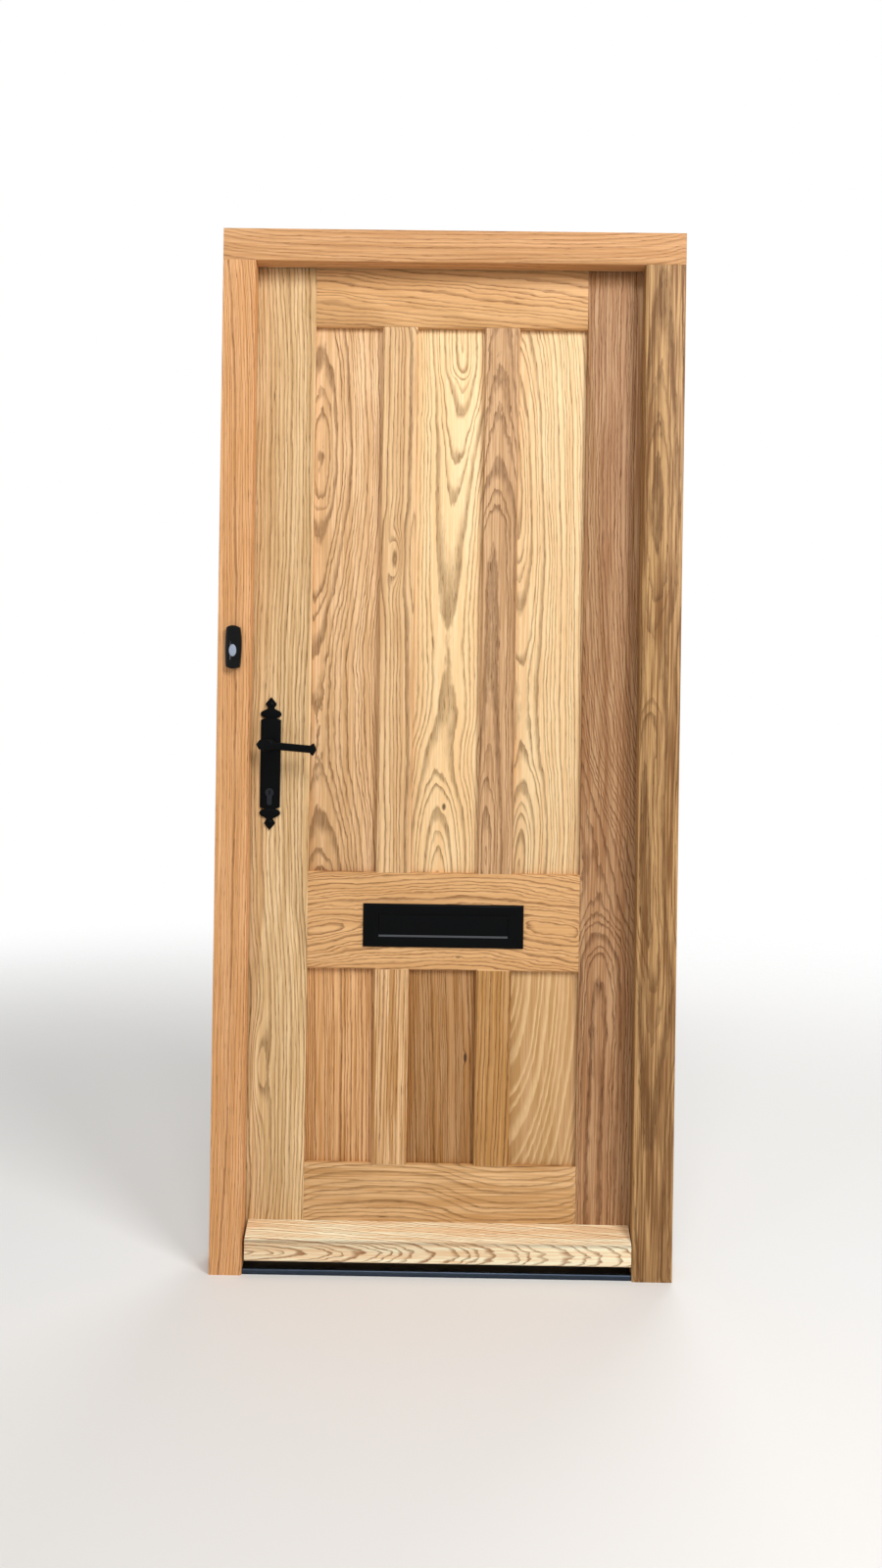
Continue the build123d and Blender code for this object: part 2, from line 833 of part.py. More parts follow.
def hinge_plate(foot, x0, x1, parity, bore_r, screw_places):
    plate = block(x0, x1, inside_y - hinge_leaf_w, hinge_axis_y, foot, foot + hinge_h)
    made = plate - knuckle_room(foot, 1 - parity) + knuckles(foot, parity)
    made = made - rod_z(bore_r, hinge_axis_x, hinge_axis_y, foot - overshoot, foot + hinge_h + overshoot)
    hole = screw_hole(screw_l)
    return made - [place * hole for place in screw_places]


def door_hinge_plate(foot):
    return hinge_plate(foot, leaf_x1 - hinge_leaf_t, leaf_x1, 0, pin_r,
                       hinge_screw_places(point_left, leaf_x1))


def frame_hinge_plate(foot):
    return hinge_plate(foot, hinge_rebate_x, hinge_rebate_x + hinge_leaf_t, 1, pin_r + running_fit,
                       hinge_screw_places(point_right, hinge_rebate_x))


def hinge_pin(foot):
    shaft = rod_z(pin_r, hinge_axis_x, hinge_axis_y, foot, foot + hinge_h)
    top = rod_z(pin_cap_r, hinge_axis_x, hinge_axis_y, foot + hinge_h, foot + hinge_h + pin_cap_h)
    low = rod_z(pin_cap_r, hinge_axis_x, hinge_axis_y, foot - pin_cap_h, foot)
    return shaft + top + low


# Mortice lock

def lock_inside():
    return block(case_x0 - overshoot, case_x1 - case_wall, leaf_yc - case_t / 2 + case_wall,
                 leaf_yc + case_t / 2 - case_wall, case_z0 + case_wall, case_z1 - case_wall)


def lock_bores():
    """Holes in both cheeks for the follower and the cylinder."""
    bore = rod_y(follower_boss_r + running_fit, lock_x, spindle_z, leaf_y0, inside_y)
    keyhole = through_y(Pos(lock_x, cylinder_z) * euro_profile(cylinder_fit), leaf_y0, inside_y)
    return [bore, keyhole]


def latch_post():
    """The bridge in the case that carries the latch's tail and its spring."""
    x = latch_post_x
    post = block(x, x + latch_post_t, leaf_yc - case_t / 2 + case_wall, cover_y,
                 latch_tail_z - spring_r - latch_post_foot, case_z1 - case_wall)
    hole = block(x - overshoot, x + latch_post_t + overshoot, leaf_yc - latch_tail_t / 2 - bolt_fit,
                 leaf_yc + latch_tail_t / 2 + bolt_fit, latch_tail_z0 - bolt_fit, latch_tail_z1 + bolt_fit)
    return post - hole


def lock_case():
    made = lock_case_envelope() - lock_inside() + latch_post()
    made = made - block(case_x0 - overshoot, case_x1 + overshoot, cover_y, inside_y,
                        case_z0 - overshoot, case_z1 + overshoot)
    return made - lock_bores() - cylinder_screw_hole()


def lock_cover():
    made = block(case_x0, case_x1, cover_y, cover_y + case_wall, case_z0, case_z1)
    return made - lock_bores()


def lock_faceplate():
    made = faceplate_envelope()
    for z0, z1 in ((latch_z0, latch_z1), (dead_z0, dead_z1)):
        made = made - block(leaf_x0 - overshoot, case_x0 + overshoot, leaf_yc - bolt_t / 2 - bolt_fit,
                            leaf_yc + bolt_t / 2 + bolt_fit, z0 - bolt_fit, z1 + bolt_fit)
    hole = screw_hole(screw_l)
    return made - [place * hole for place in faceplate_screw_places()] - cylinder_screw_hole()


def latch_bolt():
    """A bevelled head, a tail over the follower and the lug that the follower draws back."""
    tip = leaf_x0 - latch_out
    root = latch_root_x
    y0 = leaf_yc - bolt_t / 2
    y1 = leaf_yc + bolt_t / 2
    outline = make_face(Polyline((root, y0), (tip, y0), (leaf_x0 - latch_edge_t, y1), (root, y1), close=True))
    head = extrude(Plane.XY.offset(latch_z0) * outline, amount=latch_h)
    lug_end = latch_lug_x + latch_lug_w
    tail = block(root - overshoot, lug_end, leaf_yc - latch_tail_t / 2, leaf_yc + latch_tail_t / 2,
                 latch_tail_z0, latch_tail_z1)
    lug = block(latch_lug_x, lug_end, leaf_yc - latch_tail_t / 2, leaf_yc + latch_tail_t / 2,
                spindle_z + latch_lug_foot, latch_tail_z1)
    return head + tail + lug


def coil(radius, wire_r, turns, length):
    """An open coil spring along +Z from the origin."""
    path = Helix(pitch=length / turns, height=length, radius=radius)
    section = Plane(origin=path @ 0, z_dir=path % 0) * RegularPolygon(wire_r, wire_sides)
    return sweep(section, path=path)


def latch_spring():
    x0 = latch_root_x + spring_wire_r + spring_play
    x1 = latch_post_x - spring_wire_r - spring_play
    turned = Location((x0, leaf_yc, latch_tail_z), (0, 90, 0))
    return turned * coil(spring_r, spring_wire_r, spring_turns, x1 - x0)


def dead_bolt():
    return block(leaf_x0, leaf_x0 + dead_l, leaf_yc - bolt_t / 2, leaf_yc + bolt_t / 2, dead_z0, dead_z1)


def square_spindle(grow, y0, y1):
    half = spindle_side / 2 + grow
    turned = Pos(lock_x, 0, spindle_z) * Rot(0, lever_droop_deg, 0)
    return turned * block(-half, half, y0, y1, -half, half)


def follower():
    """The turning hub in the lock, with the arm that draws the latch."""
    hub = rod_y(follower_r, lock_x, spindle_z, leaf_yc - follower_t / 2, leaf_yc + follower_t / 2)
    boss = rod_y(follower_boss_r, lock_x, spindle_z, leaf_yc - case_t / 2, leaf_yc + case_t / 2)
    arm = block(lock_x - follower_arm_w / 2, lock_x + follower_arm_w / 2, leaf_yc - latch_tail_t / 2,
                leaf_yc + latch_tail_t / 2, spindle_z, spindle_z + follower_arm_r)
    return hub + boss + arm - square_spindle(spindle_fit, leaf_y0, inside_y)


# Lever furniture

def plate_half_outline():
    """Half widths and heights up one side of the backplate's upper end, from its tip down."""
    top = plate_l / 2
    return [
        (0, top),
        (diamond_w / 2, top - diamond_at),
        (diamond_neck_w / 2, top - diamond_neck_at),
        (lobe_shoulder_w / 2, top - lobe_top_at),
        (lobe_tip_w / 2, top - lobe_tip_at),
        (lobe_shoulder_w / 2, top - lobe_foot_at),
        (plate_neck_w / 2, top - plate_neck_at),
        (plate_w / 2, top - plate_body_at),
    ]


def backplate_outline():
    """A long plate whose two ends are cut as a diamond over a pair of round leaves."""
    half = plate_half_outline()
    right = half + [(x, -z) for x, z in reversed(half)]
    left = [(-x, z) for x, z in reversed(right)][1:-1]
    face = make_face(Polyline(*right, *left, close=True))
    leaf_tips = [v for v in face.vertices() if abs(v.X) > plate_w / 2 + lobe_tip_r / 10]
    return fillet(leaf_tips, lobe_tip_r)


def backplate(y0, y1, front_y):
    """A backplate with its bores; front_y is the face that a hand meets."""
    place = Pos(lock_x, plate_z)
    made = through_y(place * backplate_outline(), y0, y1)
    seen = made.faces().filter_by(Axis.Y).sort_by(Axis.Y)[0 if front_y == y0 else -1]
    made = chamfer(seen.edges(), plate_edge)
    made = made - rod_y(lever_neck_r + running_fit, lock_x, spindle_z, y0 - overshoot, y1 + overshoot)
    made = made - through_y(Pos(lock_x, cylinder_z) * euro_profile(cylinder_fit),
                            y0 - overshoot, y1 + overshoot)
    hole = screw_hole(screw_l)
    return made - [place * hole for place in plate_screw_places()]


def lever_outline():
    """The grip seen from the front: a pointed tail, a straight bar and a flared arrow end."""
    return make_face(Polyline(
        (-lever_tail_l, 0),
        (-lever_tail_widest, lever_tail_h / 2),
        (0, lever_bar_h / 2),
        (lever_bar_l, lever_bar_h / 2),
        (lever_flare_l, lever_flare_h / 2),
        (lever_tip_l, 0),
        (lever_flare_l, -lever_flare_h / 2),
        (lever_bar_l, -lever_bar_h / 2),
        (0, -lever_bar_h / 2),
        (-lever_tail_widest, -lever_tail_h / 2),
        close=True,
    ))


def lever(face_y, outward):
    """A forged lever: neck through the backplate, hub and grip, sagging a little at rest."""
    mid_y = face_y + outward * lever_reach
    y0, y1 = sorted((mid_y - lever_t / 2, mid_y + lever_t / 2))
    grip = through_y(lever_outline(), y0, y1)
    seen = grip.faces().filter_by(Axis.Y).sort_by(Axis.Y)[0 if outward < 0 else -1]
    grip = chamfer(seen.edges(), lever_edge)
    hub_foot = face_y + outward * (plate_t + lever_hub_gap)
    h0, h1 = sorted((hub_foot, mid_y + outward * (lever_t / 2 + lever_hub_proud)))
    n0, n1 = sorted((face_y, mid_y))
    made = grip + rod_y(lever_hub_r, 0, 0, h0, h1) + rod_y(lever_neck_r, 0, 0, n0, n1)
    made = Pos(lock_x, 0, spindle_z) * Rot(0, lever_droop_deg, 0) * made
    s0, s1 = sorted((face_y - outward * overshoot, mid_y - outward * lever_t / 2))
    return made - square_spindle(spindle_fit, s0, s1)


def spindle():
    reach = lever_reach - lever_t / 2 - spindle_short
    return square_spindle(0, leaf_y0 - reach, inside_y + reach)


# Lock cylinder

def cylinder_screw_hole():
    """The long machine screw's way through faceplate, case and cylinder."""
    z = cylinder_z - cylinder_screw_drop
    return rod_x(cylinder_screw_r + screw_fit, leaf_yc, z, leaf_x0 - overshoot,
                 lock_x + cylinder_screw_past + overshoot)


def cylinder_screw():
    z = cylinder_z - cylinder_screw_drop
    shank = rod_x(cylinder_screw_r, leaf_yc, z, leaf_x0, lock_x + cylinder_screw_past)
    slot = block(leaf_x0 - overshoot, leaf_x0 + slot_d, leaf_yc - slot_w / 2, leaf_yc + slot_w / 2,
                 z - 2 * cylinder_screw_r, z + 2 * cylinder_screw_r)
    return shank - slot


def cylinder_body():
    made = through_y(Pos(lock_x, cylinder_z) * euro_profile(), cylinder_y0, cylinder_y1)
    made = made - rod_y(plug_r + running_fit, lock_x, cylinder_z,
                        cylinder_y0 - overshoot, cylinder_y1 + overshoot)
    made = made - rod_y(cam_slot_r, lock_x, cylinder_z, cam_y0, cam_y1)
    return made - cylinder_screw_hole()


def cylinder_plug(y0, y1, mouth_y):
    """A plug with its keyway cut in from the mouth."""
    made = rod_y(plug_r, lock_x, cylinder_z, y0, y1)
    inward = 1 if mouth_y == y0 else -1
    k0, k1 = sorted((mouth_y - inward * overshoot, mouth_y + inward * keyway_d))
    foot = cylinder_z - keyway_h / 2 - keyway_drop
    return made - block(lock_x - keyway_w / 2, lock_x + keyway_w / 2, k0, k1, foot, foot + keyway_h)


def cylinder_cam():
    y0 = cam_y0 + cam_gap
    y1 = cam_y1 - cam_gap
    hub = rod_y(cylinder_r, lock_x, cylinder_z, y0, y1)
    tooth = block(lock_x - cam_tooth_w / 2, lock_x + cam_tooth_w / 2, y0, y1, cylinder_z - cam_r, cylinder_z)
    return (hub + tooth) & rod_y(cam_r, lock_x, cylinder_z, y0, y1)


# Strike plate

def strike_plate():
    made = strike_envelope()
    for z0, z1 in ((latch_z0, latch_z1), (dead_z0, dead_z1)):
        made = made - keep_pocket(z0, z1, 2 * strike_t, grow=-strike_lip)
    hole = screw_hole(screw_l)
    return made - [place * hole for place in strike_screw_places()]


# Letter plate

def letter_bolt_xs():
    reach = letter_w / 2 - letter_bolt_inset
    return [field_x - reach, field_x + reach]


def letter_plate():
    """The outer plate: bevelled rim, opening for the flap, two lugs for its pin, two bolt posts."""
    y0 = leaf_y0 - letter_t
    made = block(field_x - letter_w / 2, field_x + letter_w / 2, y0, leaf_y0,
                 letter_z - letter_h / 2, letter_z + letter_h / 2)
    seen = made.faces().filter_by(Axis.Y).sort_by(Axis.Y)[0]
    made = chamfer(seen.edges(), letter_bevel, letter_bevel)
    made = made - block(field_x - flap_w / 2, field_x + flap_w / 2, y0 - overshoot, leaf_y0 + overshoot,
                        letter_z - flap_h / 2, letter_z + flap_h / 2)
    for end in (-1, 1):
        x0, x1 = sorted((field_x + end * flap_w / 2, field_x + end * (flap_w / 2 + flap_lug_t)))
        lug = block(x0, x1, leaf_y0 - overshoot, flap_axis_y + flap_barrel_r,
                    flap_axis_z - flap_barrel_r, flap_axis_z + flap_barrel_r)
        made = made + lug - rod_x(flap_pin_r, flap_axis_y, flap_axis_z, x0 - overshoot, x1 + overshoot)
    for x in letter_bolt_xs():
        made = made + rod_y(letter_post_r, x, letter_z, leaf_y0, leaf_y0 + letter_post_l)
        made = made - rod_y(letter_bolt_r, x, letter_z, leaf_y0, leaf_y0 + letter_post_l + overshoot)
    return made


def flap_pin():
    reach = flap_w / 2 + flap_lug_t
    return rod_x(flap_pin_r, flap_axis_y, flap_axis_z, field_x - reach, field_x + reach)


def letter_flap():
    """The outer flap, hung on its pin, with a rounded lip along its foot."""
    x0 = field_x - flap_w / 2 + flap_gap
    x1 = field_x + flap_w / 2 - flap_gap
    z0 = letter_z - flap_h / 2 + flap_gap
    y0 = leaf_y0 - letter_t + flap_set_in
    leaf = block(x0, x1, y0, y0 + flap_t, z0, flap_top_z)
    lip = rod_x(flap_lip, y0, z0 + flap_lip, x0, x1)
    web = block(x0, x1, y0, flap_axis_y, flap_axis_z - flap_barrel_r, flap_axis_z + flap_barrel_r)
    barrel = rod_x(flap_barrel_r, flap_axis_y, flap_axis_z, x0, x1)
    made = leaf + lip + web + barrel
    return made - rod_x(flap_pin_r + running_fit, flap_axis_y, flap_axis_z, x0 - overshoot, x1 + overshoot)


def inner_letter_plate():
    made = block(field_x - inner_w / 2, field_x + inner_w / 2, inside_y, inner_plate_y1,
                 letter_z - inner_h / 2, letter_z + inner_h / 2)
    made = made - block(field_x - flap_w / 2, field_x + flap_w / 2, inside_y - overshoot,
                        inner_plate_y1 + overshoot, letter_z - flap_h / 2, letter_z + flap_h / 2)
    reach = flap_w / 2 + inner_flap_over
    for end in (-1, 1):
        x0, x1 = sorted((field_x + end * reach, field_x + end * (reach - inner_lug_t)))
        lug = block(x0, x1, inside_y + overshoot, inner_axis_y + inner_barrel_r,
                    inner_axis_z - inner_barrel_r, inner_axis_z + inner_barrel_r)
        made = made + lug - rod_x(inner_pin_r, inner_axis_y, inner_axis_z, x0 - overshoot, x1 + overshoot)
    return made - [rod_y(letter_bolt_r + screw_fit, x, letter_z,
                         inside_y - overshoot, inner_plate_y1 + overshoot) for x in letter_bolt_xs()]


def inner_flap_pin():
    reach = flap_w / 2 + inner_flap_over
    return rod_x(inner_pin_r, inner_axis_y, inner_axis_z, field_x - reach, field_x + reach)


def inner_letter_flap():
    """A thin draught flap that hangs over the inner plate's opening."""
    x0 = field_x - flap_w / 2 - inner_flap_over + inner_lug_t + flap_gap
    x1 = field_x + flap_w / 2 + inner_flap_over - inner_lug_t - flap_gap
    y0 = inner_plate_y1 + inner_flap_gap
    leaf = block(x0, x1, y0, y0 + inner_flap_t, letter_z - flap_h / 2 - inner_flap_over, inner_axis_z)
    barrel = rod_x(inner_barrel_r, inner_axis_y, inner_axis_z, x0, x1)
    return leaf + barrel - rod_x(inner_pin_r + running_fit, inner_axis_y, inner_axis_z,
                                 x0 - overshoot, x1 + overshoot)


def letter_bolts():
    bolts = []
    for x in letter_bolt_xs():
        shank = rod_y(letter_bolt_r, x, letter_z, leaf_y0 + letter_bolt_start, inner_plate_y1 + overshoot)
        head = rod_y(letter_bolt_head_r, x, letter_z, inner_plate_y1, inner_plate_y1 + letter_bolt_head_h)
        bolts.append(shank + head)
    return Compound(children=bolts)


# Bell push

def bell_outline(shrink=0.0):
    """A tall oblong with bowed sides and ends."""
    half = bell_w / 2 - shrink
    end = bell_end_w / 2 - shrink
    tall = bell_h / 2 - shrink
    corner = tall - bell_bow
    lines = (
        ThreePointArc((end, -corner), (half, 0), (end, corner))
        + ThreePointArc((end, corner), (0, tall), (-end, corner))
        + ThreePointArc((-end, corner), (-half, 0), (-end, -corner))
        + ThreePointArc((-end, -corner), (0, -tall), (end, -corner))
    )
    return make_face(lines)


def bell_dome(shrink=0.0):
    """The upright drum whose front the cover follows."""
    rise = bell_t - bell_side_t
    radius = ((bell_w / 2) ** 2 + rise ** 2) / (2 * rise)
    centre_y = outside_y - bell_t + radius
    return rod_z(radius - shrink, bell_x, centre_y, bell_centre_z - bell_h, bell_centre_z + bell_h)


def bell_screw_places():
    reach = bell_h / 2 - bell_screw_inset
    return [point_in(bell_x, outside_y - bell_base_t, bell_centre_z + s * reach) for s in (-1, 1)]


def bell_base():
    plate = through_y(Pos(bell_x, bell_centre_z) * bell_outline(bell_wall + bell_base_play),
                      outside_y - bell_base_t, outside_y)
    guide = rod_y(bell_spring_r - bell_wire_r - bell_guide_play, bell_x, button_z,
                  outside_y - bell_base_t - bell_guide_l, outside_y)
    hole = screw_hole(screw_l)
    return plate + guide - [place * hole for place in bell_screw_places()]


def bell_cover():
    body = through_y(Pos(bell_x, bell_centre_z) * bell_outline(), outside_y - bell_t, outside_y) & bell_dome()
    hollow = through_y(Pos(bell_x, bell_centre_z) * bell_outline(bell_wall), outside_y - bell_t,
                       outside_y + overshoot) & bell_dome(bell_wall)
    button_way = through_y(Pos(bell_x, button_z) * Ellipse(bell_button_w / 2 + bell_button_gap,
                                                           bell_button_h / 2 + bell_button_gap),
                           outside_y - bell_t - overshoot, outside_y)
    return body - hollow - button_way


def bell_button():
    """An oval button with a flange that keeps it in the cover."""
    oval = Ellipse(bell_button_w / 2, bell_button_h / 2)
    stem = through_y(Pos(bell_x, button_z) * oval, button_face_y, button_back_y)
    wide = Ellipse(bell_button_w / 2 + bell_flange, bell_button_h / 2 + bell_flange)
    flange = through_y(Pos(bell_x, button_z) * wide, button_back_y - bell_flange_t, button_back_y)
    return stem + flange


def bell_spring():
    y0 = outside_y - bell_base_t - bell_wire_r - bell_spring_play
    y1 = button_back_y + bell_wire_r + bell_spring_play
    made = coil(bell_spring_r, bell_wire_r, bell_spring_turns, y0 - y1)
    return Location((bell_x, y0, button_z), (90, 0, 0)) * made


def screws(places):
    one = screw(screw_l)
    return Compound(children=[place * one for place in places])


def build_nodes():
    nodes = {
        "latch_jamb": latch_jamb(),
        "hinge_jamb": hinge_jamb(),
        "frame_head": frame_head(),
        "threshold": threshold(),
        "threshold_seal": threshold_seal(),
        "latch_seal": upright_seal(latch_rebate_x, 1),
        "hinge_seal": upright_seal(hinge_rebate_x, -1),
        "head_seal": head_seal(),
        "latch_stile": latch_stile(),
        "hinge_stile": hinge_stile(),
        "top_rail": rail(top_rail_z0, leaf_z1, rail_tenons[0], ["upper"]),
        "mid_rail": mid_rail(),
        "bottom_rail": rail(leaf_z0, bottom_rail_z1, rail_tenons[2], ["lower"]),
        "weatherboard": weatherboard(),
        "strike_plate": strike_plate(),
        "frame_screws": screws(hinge_screw_places(point_right, hinge_rebate_x) + strike_screw_places()
                               + bell_screw_places()),
        "door_screws": screws(hinge_screw_places(point_left, leaf_x1) + faceplate_screw_places()),
        "lock_case": lock_case(),
        "lock_cover": lock_cover(),
        "lock_faceplate": lock_faceplate(),
        "latch_bolt": latch_bolt(),
        "latch_spring": latch_spring(),
        "dead_bolt": dead_bolt(),
        "follower": follower(),
        "spindle": spindle(),
        "outside_backplate": backplate(leaf_y0 - plate_t, leaf_y0, leaf_y0 - plate_t),
        "inside_backplate": backplate(inside_y, inside_y + plate_t, inside_y + plate_t),
        "outside_lever": lever(leaf_y0, -1),
        "inside_lever": lever(inside_y, 1),
        "backplate_screws": screws(plate_screw_places()),
        "cylinder_body": cylinder_body(),
        "outside_plug": cylinder_plug(cylinder_y0, cam_y0, cylinder_y0),
        "inside_plug": cylinder_plug(cam_y1, cylinder_y1, cylinder_y1),
        "cylinder_cam": cylinder_cam(),
        "cylinder_screw": cylinder_screw(),
        "letter_plate": letter_plate(),
        "letter_flap": letter_flap(),
        "flap_pin": flap_pin(),
        "inner_letter_plate": inner_letter_plate(),
        "inner_letter_flap": inner_letter_flap(),
        "inner_flap_pin": inner_flap_pin(),
        "letter_bolts": letter_bolts(),
        "bell_base": bell_base(),
        "bell_cover": bell_cover(),
        "bell_button": bell_button(),
        "bell_spring": bell_spring(),
    }
    for row, (z0, z1) in opening_rows().items():
        for i, (x0, x1) in enumerate(opening_columns()):
            nodes[f"{row}_panel_{i + 1}"] = panel(x0, x1, z0, z1)
        for i in range(panels_across - 1):
            nodes[f"{row}_muntin_{i + 1}"] = muntin(i, row)
    return nodes


def build_hinges():
    nodes = {}
    for part_name, make in (("frame_hinge_plate", frame_hinge_plate), ("door_hinge_plate", door_hinge_plate),
                            ("hinge_pin", hinge_pin)):
        nodes[part_name + "s"] = Compound(children=[make(foot) for foot in hinge_feet()])
    return nodes


os.makedirs("parts", exist_ok=True)
for name, shape in {**build_nodes(), **build_hinges()}.items():
    export_step(shape, f"parts/{name}.step")
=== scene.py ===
"""Dress the panelled oak front door in its frame, and set up the studio picture of it."""

import logging
import math
from collections.abc import Callable, Sequence
from dataclasses import dataclass
from enum import Enum

import bmesh
import bpy
from mathutils import Matrix, Vector


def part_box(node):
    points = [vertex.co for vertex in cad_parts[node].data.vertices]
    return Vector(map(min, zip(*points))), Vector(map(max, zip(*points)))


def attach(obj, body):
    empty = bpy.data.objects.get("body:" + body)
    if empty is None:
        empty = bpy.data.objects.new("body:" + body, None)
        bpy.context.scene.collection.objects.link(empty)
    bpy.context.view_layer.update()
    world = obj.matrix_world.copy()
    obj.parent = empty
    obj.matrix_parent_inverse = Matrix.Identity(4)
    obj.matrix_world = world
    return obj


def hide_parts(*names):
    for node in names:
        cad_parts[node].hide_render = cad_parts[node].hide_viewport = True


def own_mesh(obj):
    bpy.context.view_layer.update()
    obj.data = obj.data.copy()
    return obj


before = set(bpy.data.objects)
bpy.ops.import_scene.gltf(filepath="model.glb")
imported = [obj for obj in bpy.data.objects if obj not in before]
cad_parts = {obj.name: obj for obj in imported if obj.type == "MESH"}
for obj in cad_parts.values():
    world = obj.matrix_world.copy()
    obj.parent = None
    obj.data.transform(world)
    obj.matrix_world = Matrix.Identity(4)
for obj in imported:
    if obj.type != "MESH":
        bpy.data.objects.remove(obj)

LOG = logging.getLogger("door")
# One millimetre in metres.
MM = 0.001
# Two places this near, in mm, count as one.
NEAR = 0.02
# Noise swings about a quarter either way, and this makes the swing one.
FULL_SWING = 4.0

Socket = bpy.types.NodeSocket
# What a node's input can be given.
Feed = Socket | float | tuple[float, ...]
# A line along a board: pairs of a place along it and a distance, in mm.
Course = tuple[tuple[float, float], ...]
# A point, in mm for the pieces and in metres for the studio.
Spot = tuple[float, float, float]
# A place along a piece and its half width there, in mm.
Station = tuple[float, float]
# What decides whether an edge or a face is picked.
Test = Callable[[bmesh.types.BMEdge | bmesh.types.BMFace], bool]


class Axis(Enum):
    """An axis of the part's frame: X to the right, Y inwards and Z up, seen from outside."""

    X = 0
    Y = 1
    Z = 2


class Grain(Enum):
    """Which way a board's grain runs: the axis along it and the one across it."""

    UPRIGHT = (Axis.Z, Axis.X)
    LEVEL = (Axis.X, Axis.Z)


class Rows(Enum):
    """What is picked on a mesh, as bmesh and the select operator call it."""

    EDGES = ("edges", "EDGE")
    FACES = ("faces", "FACE")


class Cut(Enum):
    """What one piece does to another."""

    JOIN = "UNION"
    BORE = "DIFFERENCE"


def linear(code: str) -> tuple[float, float, float, float]:
    """Turn an sRGB hex colour into the linear one that shaders use.

    Args:
        code: Six hex digits after a hash.

    Returns:
        Linear red, green, blue and an alpha of one.
    """
    shares = [int(code[i:i + 2], 16) / 255 for i in (1, 3, 5)]
    red, green, blue = (s / 12.92 if s <= 0.04045 else ((s + 0.055) / 1.055) ** 2.4 for s in shares)
    return red, green, blue, 1.0


def lies_at(axis: Axis, place: float) -> Test:
    """Make a test for edges and faces that lie square to an axis at one place.

    Args:
        axis: The axis.
        place: The place on it in mm.

    Returns:
        The test.
    """
    return lambda item: all(abs(v.co[axis.value] / MM - place) < NEAR for v in item.verts)


def longer_than(length: float) -> Test:
    """Make a test for edges longer than a length in mm."""
    return lambda edge: edge.calc_length() > length * MM


def take_up(thing: bpy.types.Object) -> None:
    """Make an object the active one and the only one selected.

    Args:
        thing: The object.
    """
    bpy.ops.object.select_all(action="DESELECT")
    bpy.context.view_layer.objects.active = thing
    thing.select_set(True)


class ShaderTree:
    """The nodes of a material or of the world."""

    def __init__(self, owner: bpy.types.Material | bpy.types.World) -> None:
        """Switch the owner's nodes on and take them up."""
        owner.use_nodes = True
        self.tree = owner.node_tree

    def add(self, kind: str, feeds: dict[int | str, Feed] | None = None, out: int | str = 0,
            **settings: str | bool) -> Socket:
        """Add one node with its settings and links.

        Args:
            kind: The node's type name, without the "ShaderNode" before it.
            feeds: What each input gets, a socket or a plain value.
            out: Which output is handed back.
            settings: The node's own settings.

        Returns:
            The chosen output of the new node.
        """
        node = self.tree.nodes.new("ShaderNode" + kind)
        for key, value in settings.items():
            setattr(node, key, value)
        for key, feed in (feeds or {}).items():
            self.join(feed, node.inputs[key])
        return node.outputs[out]

    def join(self, feed: Feed, entry: Socket) -> None:
        """Link a socket to an input, or write a plain value into it.

        Args:
            feed: The socket or value.
            entry: The input.
        """
        if isinstance(feed, Socket):
            self.tree.links.new(feed, entry)
        else:
            entry.default_value = feed


class Finish(ShaderTree):
    """A material on its way: its nodes, and its shader with the sockets still to be fed."""

    def __init__(self, name: str) -> None:
        """Start an empty material.

        Args:
            name: Its name.
        """
        self.material = bpy.data.materials.new(name)
        super().__init__(self.material)
        self.shader = self.tree.nodes["Principled BSDF"]

    def spot(self, scale: Spot = (1.0, 1.0, 1.0), shift: Spot = (0.0, 0.0, 0.0)) -> Socket:
        """Read the piece's own coordinates in mm.

        Args:
            scale: What each is multiplied by.
            shift: What is then added to each.

        Returns:
            The coordinates.
        """
        metres = self.add("TexCoord", out="Object")
        return self.add("Mapping", {"Vector": metres, "Location": shift,
                                              "Scale": tuple(share / MM for share in scale)})

    def shade(self, **feeds: Feed) -> bpy.types.Material:
        """Feed the shader.

        Args:
            feeds: Input names in lower case with underscores, and what they get.

        Returns:
            The finished material.
        """
        for key, feed in feeds.items():
            self.join(feed, self.shader.inputs[key.replace("_", " ").title().replace("Ior", "IOR")])
        return self.material


@dataclass(frozen=True)
class Tone:
    """Colours of one board: its ring lines, its body and its palest wood."""

    line: str
    body: str
    pale: str


@dataclass(frozen=True)
class Patch:
    """Noise along the grain: width and length of its patches in mm, and its octaves."""

    width: float
    length: float
    detail: float = 2.0


@dataclass(frozen=True)
class Knot:
    """A knot, swirl or dark mark in the wood, or a band of painted shade, that pushes the rings aside:
    place, half size, push in mm, and how much brown is laid over it.
    """

    across: float
    along: float
    width: float
    length: float
    push: float
    stain_and_shade: float = 0.0


@dataclass(frozen=True)
class Figure:
    """How a board was cut from its log.

    The heart of the log runs behind the face. centre gives where it lies across the board and
    depth how far behind the face, each as pairs of a place along the board and a distance, in mm.
    ring is the width of one year, wander and ripple how far slow and quick waves push the rings,
    strength how dark their lines are, and line_share how much of a ring a line takes.
    """

    centre: Course
    depth: Course
    ring: float = 7.0
    wander: float = 5.0
    ripple: float = 0.9
    strength: float = 0.85
    line_share: float = 0.5
    knots: tuple[Knot, ...] = ()


